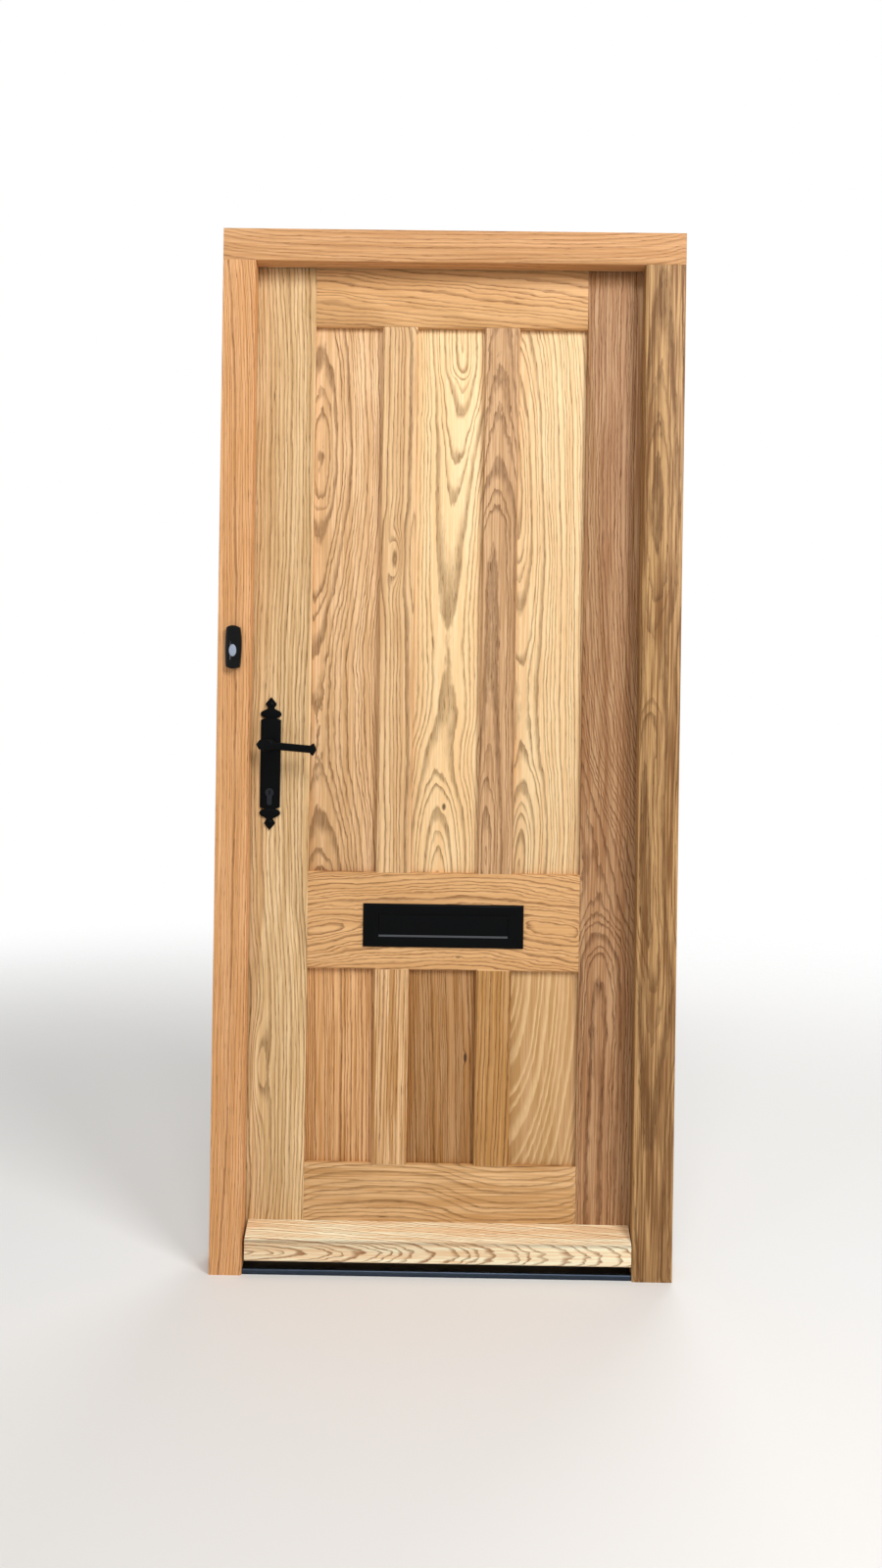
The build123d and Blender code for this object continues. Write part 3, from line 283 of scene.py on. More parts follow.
@dataclass(frozen=True)
class OiledOak:
    """Oiled European oak, planed and sanded: growth rings, open pores and broad streaks of colour.

    The oil leaves it satin and warm, and the open pores read as short dark dashes along the grain.
    """

    node: str
    grain: Grain
    tone: Tone
    figure: Figure
    # Pale streaks, broad and fine, then where the ring lines fade, then the rings' slow and quick waves.
    streak: Patch = Patch(20.0, 600.0, 3.0)
    fibre: Patch = Patch(3.2, 150.0)
    fade: Patch = Patch(9.0, 150.0)
    sway: Patch = Patch(70.0, 260.0)
    wave: Patch = Patch(11.0, 34.0)
    # Real pores are about 0.3 mm wide, finer than a pixel, so they are drawn wider.
    pore: Patch = Patch(1.5, 30.0)
    pore_strength: float = 0.48
    knot_and_shade_brown: str = "#3b2415"
    roughness: float = 0.5
    gloss: float = 0.3
    relief: float = 0.3
    arris: float = 0.6
    # The arris is taken off the long edges alone, so the ends keep their tight joints.
    long_edge: float = 65.0

    def dress(self, body: str, slot: str) -> None:
        """Take the sharpness off the board's long arrises, as hand sanding does, and oil it.

        Args:
            body: The body that it rides on.
            slot: The record's material slot.
        """
        board = Blank.merged("oiled_" + self.node, self.node)
        board.ease(self.arris, 2, longer_than(self.long_edge), Blank.SQUARE)
        board.finish(OakGrain(self).oiled(), body, slot, self.node)


class OakGrain(Finish):
    """The wood of one board on its way, drawn in the board's own millimetres."""

    def __init__(self, board: OiledOak) -> None:
        """Find each point's place across the board, behind its face and along it.

        Args:
            board: The board.
        """
        super().__init__("oiled_oak_" + board.node)
        self.board = board
        self.figure = board.figure
        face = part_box(board.node)[0].y / MM
        split = self.add("SeparateXYZ", {0: self.spot(shift=(0.0, -face, 0.0))}).node.outputs
        self.along, self.across = (split[axis.name] for axis in board.grain.value)
        self.inward = split["Y"]
        self.place = self.add("CombineXYZ", {0: self.across, 1: self.inward, 2: self.along})
        self.hills = [(knot, self.hill(knot)) for knot in self.figure.knots]

    def noise(self, patch: Patch) -> Socket:
        """Spread noise over the board, stretched along the grain.

        Args:
            patch: Size of its patches.

        Returns:
            A value about 0.5.
        """
        scale = (1 / patch.width, 1 / patch.width, 1 / patch.length)
        scaled = self.add("Mapping", {"Vector": self.place, "Scale": scale})
        return self.add("TexNoise", {"Vector": scaled, "Scale": 1.0, "Detail": patch.detail})

    def follow(self, course: Course) -> Socket:
        """Follow a line along the board.

        Args:
            course: The line.

        Returns:
            Its distance at the point's place along the board, in mm.
        """
        points = sorted(course)
        low = min(distance for _, distance in points)
        span = max(max(distance for _, distance in points) - low, 1.0)
        start, end = points[0][0], points[-1][0]
        share = self.add("MapRange", {0: self.along, 1: start, 2: end})
        curve = self.add("FloatCurve", {1: share})
        line = curve.node.mapping.curves[0].points
        line[0].location = (0.0, (points[0][1] - low) / span)
        line[1].location = (1.0, (points[-1][1] - low) / span)
        for place, distance in points[1:-1]:
            line.new((place - start) / (end - start), (distance - low) / span)
        curve.node.mapping.update()
        return self.add("Math", {0: curve, 1: span, 2: low}, operation="MULTIPLY_ADD")

    def hill(self, knot: Knot) -> Socket:
        """Raise a soft round hill over a knot.

        Args:
            knot: The knot.

        Returns:
            One at the knot's middle, falling to zero round it.
        """
        side = self.add("Math", {0: self.across, 1: 1 / knot.width, 2: -knot.across / knot.width},
                        operation="MULTIPLY_ADD")
        run = self.add("Math", {0: self.along, 1: 1 / knot.length, 2: -knot.along / knot.length},
                       operation="MULTIPLY_ADD")
        side_2 = self.add("Math", {0: side, 1: side}, operation="MULTIPLY")
        far_2 = self.add("Math", {0: run, 1: run, 2: side_2}, operation="MULTIPLY_ADD")
        return self.add("Math", {0: math.exp(-1), 1: far_2}, operation="POWER")

    def from_heart(self) -> Socket:
        """Measure the way from the log's heart out to the point, with its waves and knots.

        Returns:
            The distance in mm.
        """
        figure = self.figure
        off = self.add("Math", {0: self.across, 1: self.follow(figure.centre)},
                       operation="SUBTRACT")
        off = self.add("Math", {0: self.noise(self.board.sway), 1: figure.wander * FULL_SWING,
                                          2: off}, operation="MULTIPLY_ADD")
        deep = self.add("Math", {0: self.follow(figure.depth), 1: self.inward}, operation="ADD")
        off_2 = self.add("Math", {0: off, 1: off}, operation="MULTIPLY")
        far_2 = self.add("Math", {0: deep, 1: deep, 2: off_2}, operation="MULTIPLY_ADD")
        far = self.add("Math", {0: far_2}, operation="SQRT")
        far = self.add("Math", {0: self.noise(self.board.wave), 1: figure.ripple * FULL_SWING,
                                          2: far}, operation="MULTIPLY_ADD")
        for knot, hill in self.hills:
            far = self.add("Math", {0: hill, 1: knot.push, 2: far}, operation="MULTIPLY_ADD")
        return far

    def ring_count(self) -> Socket:
        """Count the growth rings between the log's heart and the point.

        Returns:
            The count.
        """
        far = self.from_heart()
        # Good and bad years follow each other every two or three rings, so no two rings are alike.
        spell = self.add("Math", {0: far, 1: 1 / (self.figure.ring * 2.6)}, operation="MULTIPLY")
        uneven = self.add("TexNoise", {"W": spell, "Scale": 1.0, "Detail": 0.0},
                          noise_dimensions="1D")
        count = self.add("Math", {0: far, 1: 1 / self.figure.ring, 2: uneven},
                         operation="MULTIPLY_ADD")
        return self.add("Math", {0: uneven, 1: 0.9, 2: count}, operation="MULTIPLY_ADD")

    def ring_lines(self) -> Socket:
        """Draw the dark porous line of each year, firmer in some years and fading along the grain.

        Returns:
            How dark the line is, from zero to one.
        """
        count = self.ring_count()
        year = self.add("Math", {0: count}, operation="FLOOR")
        part = self.add("Math", {0: count}, operation="FRACT")
        # The line darkens slowly up to the year's end and stops at once where the next year starts.
        share = self.figure.line_share
        edge = self.add("Math", {0: part, 1: 1 - share}, operation="SUBTRACT")
        rise = self.add("MapRange", {0: edge, 1: 0.0, 2: share * 0.9},
                        interpolation_type="SMOOTHSTEP")
        stop = self.add("MapRange", {0: part, 1: 0.10, 2: 0.0}, interpolation_type="SMOOTHSTEP")
        line = self.add("Math", {0: rise, 1: stop}, operation="MAXIMUM")
        vigour = self.add("TexWhiteNoise", {"W": year}, noise_dimensions="1D")
        vigour = self.add("MapRange", {0: vigour, 1: 0.0, 2: 1.0, 3: 0.6, 4: 1.0})
        fade = self.noise(self.board.fade)
        fade = self.add("MapRange", {0: fade, 1: 0.3, 2: 0.6, 3: 0.65, 4: 1.0})
        line = self.add("Math", {0: line, 1: vigour}, operation="MULTIPLY")
        return self.add("Math", {0: line, 1: fade}, operation="MULTIPLY")

    def open_pores(self, line: Socket) -> Socket:
        """Draw the short dark dashes of the pores, close in the ring lines and sparse between them.

        Args:
            line: How dark the ring line is.

        Returns:
            How dark a pore is, from zero to one.
        """
        pores = self.noise(self.board.pore)
        pores = self.add("MapRange", {0: pores, 1: 0.54, 2: 0.66}, interpolation_type="SMOOTHSTEP")
        band = self.add("MapRange", {0: line, 1: 0.0, 2: 0.7, 3: 0.25, 4: 1.0})
        return self.add("Math", {0: pores, 1: band}, operation="MULTIPLY")

    def colour(self, mark: Socket) -> Socket:
        """Colour the wood: pale streaks in its body, then the marks, then the knots and the painted shade
        band.

        Args:
            mark: How dark the lines and pores are together.

        Returns:
            The colour.
        """
        tone = self.board.tone
        streak = self.add("Math", {0: self.noise(self.board.fibre), 1: 1.3,
                                             2: self.noise(self.board.streak)}, operation="MULTIPLY_ADD")
        streak = self.add("MapRange", {0: streak, 1: 0.92, 2: 1.42},
                          interpolation_type="SMOOTHSTEP")
        wood = self.add("Mix", {0: streak, 6: linear(tone.body), 7: linear(tone.pale)}, out=2,
                        data_type="RGBA")
        wood = self.add("Mix", {0: mark, 6: wood, 7: linear(tone.line)}, out=2, data_type="RGBA")
        # Knot marks are laid over in brown, and on the weatherboard so is a band of painted shade.
        for knot, hill in self.hills:
            if knot.stain_and_shade:
                stain_and_shade = self.add("MapRange", {0: hill, 1: 0.35, 2: 0.85, 4: knot.stain_and_shade},
                                 interpolation_type="SMOOTHSTEP")
                wood = self.add("Mix", {0: stain_and_shade, 6: wood, 7: linear(self.board.knot_and_shade_brown)},
                                out=2, data_type="RGBA")
        return wood

    def oiled(self) -> bpy.types.Material:
        """Finish the board's material.

        Returns:
            The material.
        """
        board = self.board
        line = self.ring_lines()
        pores = self.open_pores(line)
        figure = self.add("Math", {0: line, 1: self.figure.strength}, operation="MULTIPLY")
        mark = self.add("Math", {0: pores, 1: board.pore_strength, 2: figure},
                        operation="MULTIPLY_ADD", use_clamp=True)
        relief = self.add("Math", {0: pores, 1: 0.8, 2: figure}, operation="MULTIPLY_ADD")
        bump = self.add("Bump", {"Height": relief, "Strength": 0.35,
                                           "Distance": board.relief * MM}, invert=True)
        rough = self.add("MapRange", {0: mark, 3: board.roughness, 4: board.roughness + 0.15})
        return self.shade(base_color=self.colour(mark), roughness=rough, normal=bump,
                          specular_ior_level=board.gloss)


@dataclass(frozen=True)
class BlackIron:
    """Wrought iron under black powder coat, hand hammered: near black, satin, faintly dimpled."""

    name: str = "black_powder_coated_iron"
    colour: str = "#030404"
    sheen: str = "#07080a"
    gloss: float = 0.06
    roughness: float = 0.27
    dimple: float = 7.0
    dimple_depth: float = 0.12
    # The powder's own skin is finer than a pixel, so it is drawn this wide.
    skin: float = 0.8

    def material(self) -> bpy.types.Material:
        """Make the iron's material.

        Returns:
            The material.
        """
        made = Finish(self.name)
        spot = made.spot()
        dimples = made.add("TexVoronoi", {"Vector": spot, "Scale": 1 / self.dimple},
                           feature="SMOOTH_F1")
        skin = made.add("TexNoise", {"Vector": spot, "Scale": 1 / self.skin, "Detail": 2.0})
        height = made.add("Math", {0: skin, 1: 0.15, 2: dimples}, operation="MULTIPLY_ADD")
        bump = made.add("Bump", {"Height": height, "Strength": 0.5,
                                           "Distance": self.dimple_depth * MM})
        rough = made.add("MapRange", {0: skin, 3: self.roughness - 0.05, 4: self.roughness + 0.1})
        tint = made.add("Mix", {0: skin, 6: linear(self.colour), 7: linear(self.sheen)}, out=2,
                        data_type="RGBA")
        return made.shade(base_color=tint, roughness=rough, normal=bump, specular_ior_level=self.gloss)


@dataclass(frozen=True)
class Moulded:
    """Injection-moulded plastic or rubber: one even colour, with the fine skin that its mould left."""

    name: str
    colour: str
    second: str
    roughness: float
    speck: float
    relief: float
    gloss: float = 0.5

    def material(self) -> bpy.types.Material:
        """Make the plastic's material.

        Returns:
            The material.
        """
        made = Finish(self.name)
        skin = made.add("TexNoise", {"Vector": made.spot(), "Scale": 1 / self.speck,
                                               "Detail": 3.0})
        tint = made.add("Mix", {0: skin, 6: linear(self.colour), 7: linear(self.second)}, out=2,
                        data_type="RGBA")
        bump = made.add("Bump", {"Height": skin, "Strength": 0.3, "Distance": self.relief * MM})
        rough = made.add("MapRange", {0: skin, 3: self.roughness, 4: self.roughness * 1.25})
        return made.shade(base_color=tint, roughness=rough, normal=bump, specular_ior_level=self.gloss)


@dataclass(frozen=True)
class DrawnMetal:
    """Metal drawn, extruded or ground along one axis, so fine lines run that way."""

    name: str
    colour: str
    second: str
    roughness: float
    along: Axis = Axis.X
    # Drawing leaves lines finer than a pixel, so they are drawn about half a millimetre wide.
    line_w: float = 0.6
    line_l: float = 60.0
    relief: float = 0.05

    def material(self) -> bpy.types.Material:
        """Make the metal's material.

        Returns:
            The material.
        """
        made = Finish(self.name)
        stretch = [1 / self.line_w] * 3
        stretch[self.along.value] = 1 / self.line_l
        lines = made.add("TexNoise", {"Vector": made.spot(tuple(stretch)), "Scale": 1.0,
                                                "Detail": 2.0})
        tint = made.add("Mix", {0: lines, 6: linear(self.colour), 7: linear(self.second)}, out=2,
                        data_type="RGBA")
        bump = made.add("Bump", {"Height": lines, "Strength": 0.2, "Distance": self.relief * MM})
        rough = made.add("MapRange", {0: lines, 3: self.roughness - 0.06, 4: self.roughness + 0.1})
        return made.shade(base_color=tint, metallic=1.0, roughness=rough, normal=bump)


class Blank:
    """A piece on the bench: it starts as a primitive or a merged copy and is shaped with Blender's tools.

    Places and lengths are in millimetres, in the part's own frame.
    """

    # Corners nearer than this are merged, and faces thinner than this are dissolved.
    MERGE: float = 0.002
    SLIVER: float = 0.001
    # Bends in degrees: seams flatter than the first go, edges softer than the second look smooth, and
    # only edges sharper than the third are square.
    FLAT: float = 0.6
    SMOOTH: float = 32.0
    SQUARE: float = 60.0

    def __init__(self, name: str) -> None:
        """Take up the object that was just added.

        Args:
            name: Name of the piece.
        """
        self.thing = bpy.context.active_object
        self.thing.name = name
        self.settle()

    @classmethod
    def sheet(cls, name: str, low: Spot, high: Spot) -> "Blank":
        """Add an upright rectangle that faces outside.

        Args:
            name: Name of the piece.
            low: Its lower left corner.
            high: Its upper right corner.

        Returns:
            The sheet.
        """
        bpy.ops.object.select_all(action="DESELECT")
        middle = (Vector(low) + Vector(high)) * MM / 2
        bpy.ops.mesh.primitive_plane_add(size=MM, location=middle, rotation=(math.radians(90), 0.0, 0.0))
        bpy.context.active_object.scale = (high[0] - low[0], high[2] - low[2], 1.0)
        return cls(name)

    @classmethod
    def rod(cls, name: str, radius: float, start: Spot, end: Spot) -> "Blank":
        """Add a closed round bar.

        Args:
            name: Name of the piece.
            radius: Its radius.
            start: Middle of its one end.
            end: Middle of its other end.

        Returns:
            The bar.
        """
        bpy.ops.object.select_all(action="DESELECT")
        middle = (Vector(start) + Vector(end)) * MM / 2
        run = Vector(end) - Vector(start)
        bpy.ops.mesh.primitive_cylinder_add(vertices=40, radius=radius * MM, depth=run.length * MM,
                                            location=middle,
                                            rotation=run.to_track_quat("Z", "Y").to_euler())
        return cls(name)

    @classmethod
    def ball(cls, name: str, radius: float, centre: Spot) -> "Blank":
        """Add a ball.

        Args:
            name: Name of the piece.
            radius: Its radius.
            centre: Its middle.

        Returns:
            The ball.
        """
        bpy.ops.object.select_all(action="DESELECT")
        bpy.ops.mesh.primitive_uv_sphere_add(segments=32, ring_count=48, radius=radius * MM,
                                             location=Vector(centre) * MM)
        return cls(name)

    @classmethod
    def copied(cls, name: str, mesh: bpy.types.Mesh) -> "Blank":
        """Make a piece with its own copy of a mesh.

        Args:
            name: Name of the piece.
            mesh: The mesh.

        Returns:
            The piece.
        """
        thing = bpy.data.objects.new(name, mesh.copy())
        bpy.context.collection.objects.link(thing)
        take_up(thing)
        return cls(name)

    @classmethod
    def merged(cls, name: str, node: str) -> "Blank":
        """Copy a CAD node, merge its loose triangles and dissolve the seams across its flat faces.

        Args:
            name: Name of the piece.
            node: The CAD node.

        Returns:
            The copy.
        """
        made = cls.copied(name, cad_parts[node].data)
        made.pick_all()
        bpy.ops.mesh.remove_doubles(threshold=cls.MERGE * MM)
        bpy.ops.mesh.dissolve_limited(angle_limit=math.radians(cls.FLAT))
        made.rest()
        return made

    def settle(self) -> None:
        """Move the object's place, turn and size into its mesh."""
        bpy.ops.object.transform_apply(location=True, rotation=True, scale=True)

    def pick(self, rows: Rows, test: Test) -> None:
        """Select the edges or faces that pass a test, and stay in edit mode.

        Args:
            rows: Edges or faces.
            test: What decides on each one.
        """
        take_up(self.thing)
        bpy.ops.object.mode_set(mode="EDIT")
        listed, mode = rows.value
        bpy.ops.mesh.select_mode(type=mode)
        bpy.ops.mesh.select_all(action="DESELECT")
        shape = bmesh.from_edit_mesh(self.thing.data)
        for item in getattr(shape, listed):
            item.select_set(test(item))
        shape.select_flush_mode()
        bmesh.update_edit_mesh(self.thing.data)

    def pick_all(self) -> None:
        """Select the whole piece, and stay in edit mode."""
        self.pick(Rows.FACES, lambda face: True)

    def rest(self) -> None:
        """Leave edit mode."""
        bpy.ops.object.mode_set(mode="OBJECT")

    def stretch(self, along: Axis, across: Axis, centre: Spot, start: Station,
                stops: Sequence[Station]) -> None:
        """Draw an end edge out through a row of stops.

        Args:
            along: The axis that the edge is drawn along.
            across: The axis of its width.
            centre: A point of the piece's middle line.
            start: Where the edge stands now.
            stops: The stops in order; a half width of zero closes the end to a point.
        """
        here, half = start
        self.pick(Rows.EDGES, lies_at(along, here))
        for place, wide in stops:
            move, grow, middle = [0.0] * 3, [1.0] * 3, list(centre)
            move[along.value] = (place - here) * MM
            grow[across.value] = wide / half
            middle[along.value] = place
            bpy.ops.mesh.extrude_edges_move(TRANSFORM_OT_translate={"value": move})
            if wide:
                bpy.ops.transform.resize(value=grow, center_override=Vector(middle) * MM)
            else:
                bpy.ops.mesh.merge(type="CENTER")
            here, half = place, wide
        self.rest()

    def thicken(self, depth: float) -> None:
        """Pull the whole sheet towards the outside, and close it.

        Args:
            depth: How far.
        """
        self.pick_all()
        bpy.ops.mesh.extrude_region_move(TRANSFORM_OT_translate={"value": (0.0, -depth * MM, 0.0)})
        bpy.ops.mesh.select_all(action="SELECT")
        bpy.ops.mesh.normals_make_consistent(inside=False)
        self.rest()

    def ease(self, width: float, steps: int, test: Test, sharper: float = 25.0) -> None:
        """Round the sharp edges that pass a test.

        Args:
            width: How far the rounding reaches.
            steps: Its segments.
            test: What decides on each edge.
            sharper: Smallest bend in degrees that counts as sharp.
        """
        turn = math.radians(sharper)
        self.pick(Rows.EDGES, lambda edge: len(edge.link_faces) == 2 and edge.calc_face_angle() > turn
                  and test(edge))
        bpy.ops.mesh.bevel(offset=width * MM, segments=steps, affect="EDGES", clamp_overlap=True)
        self.rest()

    def saw(self, at: Spot, beyond: Spot) -> None:
        """Saw off what lies beyond a plane, and close the cut.

        Args:
            at: A point of the plane.
            beyond: Which way the waste lies.
        """
        self.pick_all()
        bpy.ops.mesh.bisect(plane_co=Vector(at) * MM, plane_no=beyond, use_fill=True, clear_outer=True)
        self.rest()

    def carry(self, spot: Spot, turn: float) -> None:
        """Turn the piece about the Y axis through the origin, and then carry it to its spot.

        Args:
            spot: Where the origin goes.
            turn: The turn in radians.
        """
        take_up(self.thing)
        self.thing.rotation_euler = (0.0, turn, 0.0)
        self.thing.location = Vector(spot) * MM
        self.settle()

    def work(self, other: "Blank", cut: Cut) -> None:
        """Join another piece to this one or bore it out of this one, and clear it off the bench.

        Args:
            other: The other piece.
            cut: Which of the two.
        """
        take_up(self.thing)
        modifier = self.thing.modifiers.new(cut.name, "BOOLEAN")
        modifier.operation = cut.value
        modifier.object = other.thing
        bpy.ops.object.modifier_apply(modifier=modifier.name)
        bpy.data.objects.remove(other.thing)

    def twin(self, name: str, shift: Spot) -> "Blank":
        """Copy the piece for the room side of the leaf, turned over in Y.

        Args:
            name: Name of the copy.
            shift: How far it is carried once it is turned over.

        Returns:
            The copy.
        """
        made = Blank.copied(name, self.thing.data)
        made.thing.location = Vector(shift) * MM
        made.thing.scale = (1.0, -1.0, 1.0)
        made.settle()
        made.pick_all()
        bpy.ops.mesh.normals_make_consistent(inside=False)
        made.rest()
        return made

    def finish(self, material: bpy.types.Material, body: str, slot: str, *nodes: str) -> None:
        """Shade the piece, dress it and hang it on its body.

        Args:
            material: Its finish.
            body: The body that it rides on.
            slot: The record's material slot; not used.
            nodes: The CAD nodes that it stands for.
        """
        self.pick_all()
        bpy.ops.mesh.dissolve_degenerate(threshold=self.SLIVER * MM)
        self.rest()
        bpy.ops.object.shade_smooth_by_angle(angle=math.radians(self.SMOOTH))
        self.thing.data.materials.clear()
        self.thing.data.materials.append(material)
        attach(self.thing, body)
        if nodes:
            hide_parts(*nodes)
        LOG.info("made %s for %s", self.thing.name, ", ".join(nodes) or body)

    def shorten(self, joint: str, axis: Axis, travel: float) -> None:
        """Give a finished coil spring its own copy of its mesh; nothing closes it up as a joint presses on
        its low end.

        Args:
            joint: The joint that presses on it; not used.
            axis: The axis that the coil runs along.
            travel: How far the joint goes; not used.
        """
        places = [v.co[axis.value] for v in self.thing.data.vertices]
        way, still = [0.0] * 3, [0.0] * 3
        way[axis.value] = 1.0
        still[axis.value] = max(places)
        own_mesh(self.thing)


def coat(node: str, material: bpy.types.Material) -> None:
    """Put a material on a CAD node.

    Args:
        node: The node's name.
        material: Its new material.
    """
    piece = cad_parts[node]
    for slot in piece.material_slots:
        slot.material = material
    if not piece.material_slots:
        piece.data.materials.append(material)
    LOG.info("dressed %s with %s", node, material.name)


@dataclass
class OakFrame:
    """The two posts and the head, honey-coloured, with the hinge post cut near the log's heart."""

    honey: Tone = Tone("#86582f", "#d69b62", "#ebb37e")
    head_tone: Tone = Tone("#7e522e", "#c6905c", "#dba774")
    olive: Tone = Tone("#5d3a18", "#7f552b", "#c99e69")

    def boards(self) -> list[OiledOak]:
        """List the boards, with the figure that each shows.

        Returns:
            The boards.
        """
        return [
            OiledOak("latch_jamb", Grain.UPRIGHT, self.honey, Figure(
                ((0, -760), (900, -740), (1996, -770)), ((0, 90), (1996, 110)),
                ring=4.2, wander=3.0, ripple=0.7, strength=0.72)),
            OiledOak("frame_head", Grain.LEVEL, self.head_tone, Figure(
                ((-441, 1830), (0, 1815), (441, 1835)), ((-441, 44), (0, 60), (441, 50)),
                ring=8.0, wander=4.0, strength=0.55)),
            OiledOak("hinge_jamb", Grain.UPRIGHT, self.olive, Figure(
                ((1996, 420), (1617, 412), (1374, 416), (1225, 408), (1071, 404), (760, 396), (527, 418),
                 (300, 410), (0, 424)),
                ((1996, 44), (1617, 22), (1500, 13), (1380, 16), (1225, 30), (1150, 32), (1071, 21),
                 (900, 13), (745, 10), (640, 16), (527, 26), (300, 38), (0, 50)),
                ring=9.0, wander=6.0, ripple=1.4, strength=0.62)),
        ]

    def build(self) -> None:
        """Make the three boards."""
        for board in self.boards():
            board.dress("frame", "oak_frame")


@dataclass
class OakLeaf:
    """Two stiles, three rails, four muntins, six panels and the pale weatherboard."""

    panel_1: Tone = Tone("#7f5932", "#d2a471", "#f1c696")
    panel_2: Tone = Tone("#957248", "#f4c991", "#fcdba9")
    panel_3: Tone = Tone("#94714a", "#e9be89", "#f8d8a6")
    muntin_1: Tone = Tone("#86613b", "#d3a572", "#ecc593")
    muntin_2: Tone = Tone("#765230", "#b78b5f", "#dcb184")
    pink: Tone = Tone("#7d5027", "#c38b52", "#e6b37e")
    brown: Tone = Tone("#67411a", "#a37039", "#bb8e5f")
    straw: Tone = Tone("#e2bd8a", "#b88c55", "#cb9f6f")
    striped: Tone = Tone("#7e542a", "#bf8c53", "#efc493")
    tan: Tone = Tone("#764c20", "#b48144", "#cb9b65")
    stile: Tone = Tone("#76522c", "#cca470", "#ecc897")
    brown_stile: Tone = Tone("#5e3718", "#9e6e45", "#c1976d")
    rail: Tone = Tone("#855a32", "#d5a169", "#e3b27b")
    foot_rail: Tone = Tone("#7c562d", "#c08f57", "#e0b480")
    cream: Tone = Tone("#9a6433", "#f4cfa1", "#fff6d4")

    def upper_panels(self) -> list[OiledOak]:
        """List the three tall panels, each with its own heart line.

        Returns:
            The boards.
        """
        return [
            OiledOak("upper_panel_1", Grain.UPRIGHT, self.panel_1, Figure(
                ((1807, -235), (1664, -232), (1578, -231), (1490, -233), (1396, -237), (1316, -242),
                 (1201, -248), (1138, -243), (903, -228), (817, -223), (767, -222)),
                ((1825, 33), (1740, 26), (1664, 18), (1620, 13), (1578, 11), (1530, 13), (1490, 18),
                 (1461, 24), (1396, 32), (1316, 39), (1262, 46), (1201, 53), (1138, 60), (1020, 64),
                 (903, 57), (817, 47), (767, 40)), wander=6.5, ripple=1.4)),
            OiledOak("upper_panel_2", Grain.UPRIGHT, self.panel_2, Figure(
                ((1811, 32), (1688, 34), (1646, 30), (1593, 27), (1491, 21), (1310, 14), (1096, 15),
                 (968, -1), (895, 1), (788, 1)),
                ((1825, 0), (1766, 5), (1740, 12), (1726, 19), (1688, 26), (1646, 33), (1593, 40),
                 (1491, 47), (1310, 54), (1200, 57), (1096, 54), (968, 47), (927, 40), (895, 32),
                 (850, 24), (767, 12)),
                knots=(Knot(1.5, 895, 5, 9, 6, 0.8),))),
            OiledOak("upper_panel_3", Grain.UPRIGHT, self.panel_3, Figure(
                ((1825, 139), (1668, 141), (1535, 143), (1340, 154), (1230, 155), (993, 163), (767, 160)),
                ((1825, 45), (1700, 22), (1600, 8), (1535, 4), (1450, 9), (1340, 22), (1230, 34),
                 (1100, 42), (993, 38), (960, 32), (925, 26), (890, 19), (855, 12), (767, 0)), ring=6.6)),
        ]

    def lower_panels(self) -> list[OiledOak]:
        """List the three short panels.

        Returns:
            The boards.
        """
        return [
            OiledOak("lower_panel_1", Grain.UPRIGHT, self.pink, Figure(
                ((201, -470), (579, -475)), ((201, 60), (579, 70)), ring=7.0, wander=3.0, strength=0.9),
                streak=Patch(15.0, 600.0, 3.0)),
            OiledOak("lower_panel_2", Grain.UPRIGHT, self.brown, Figure(
                ((201, 240), (579, 232)), ((201, 70), (579, 60)), ring=6.0, wander=3.0, strength=0.88,
                knots=(Knot(50, 407, 4, 13, 5, 0.95),)), streak=Patch(12.0, 600.0, 3.0)),
            OiledOak("lower_panel_3", Grain.UPRIGHT, self.straw, Figure(
                ((201, 120), (400, 128), (579, 130)), ((201, 96), (330, 66), (460, 32), (579, 4)),
                ring=11.0, wander=3.0, strength=1.0)),
        ]

    def muntins(self) -> list[OiledOak]:
        """List the four narrow uprights between the panels.

        Returns:
            The boards.
        """
        return [
            OiledOak("upper_muntin_1", Grain.UPRIGHT, self.muntin_1, Figure(
                ((1825, -25), (1500, -30), (1377, -40), (1250, -30), (767, -22)),
                ((1825, 30), (1377, 40), (767, 34)), ring=7.0, wander=4.0, strength=0.9,
                knots=(Knot(-98, 1377, 12, 46, 24),))),
            OiledOak("upper_muntin_2", Grain.UPRIGHT, self.muntin_2, Figure(
                ((1825, 110), (1480, 110), (1431, 106), (1300, 102), (988, 99), (914, 97), (767, 97)),
                ((1825, 66), (1600, 54), (1480, 38), (1431, 31), (1360, 27), (1100, 24), (988, 19),
                 (914, 12), (767, -4)), ring=6.5, wander=6.0, ripple=1.4, strength=0.75)),
            OiledOak("lower_muntin_1", Grain.UPRIGHT, self.striped, Figure(
                ((201, -260), (579, -255)), ((201, 30), (579, 34)), ring=6.0, wander=2.5, strength=0.8)),
            OiledOak("lower_muntin_2", Grain.UPRIGHT, self.tan, Figure(
                ((201, 250), (579, 262)), ((201, 60), (579, 50)), ring=8.0, wander=3.0, strength=0.9)),
        ]

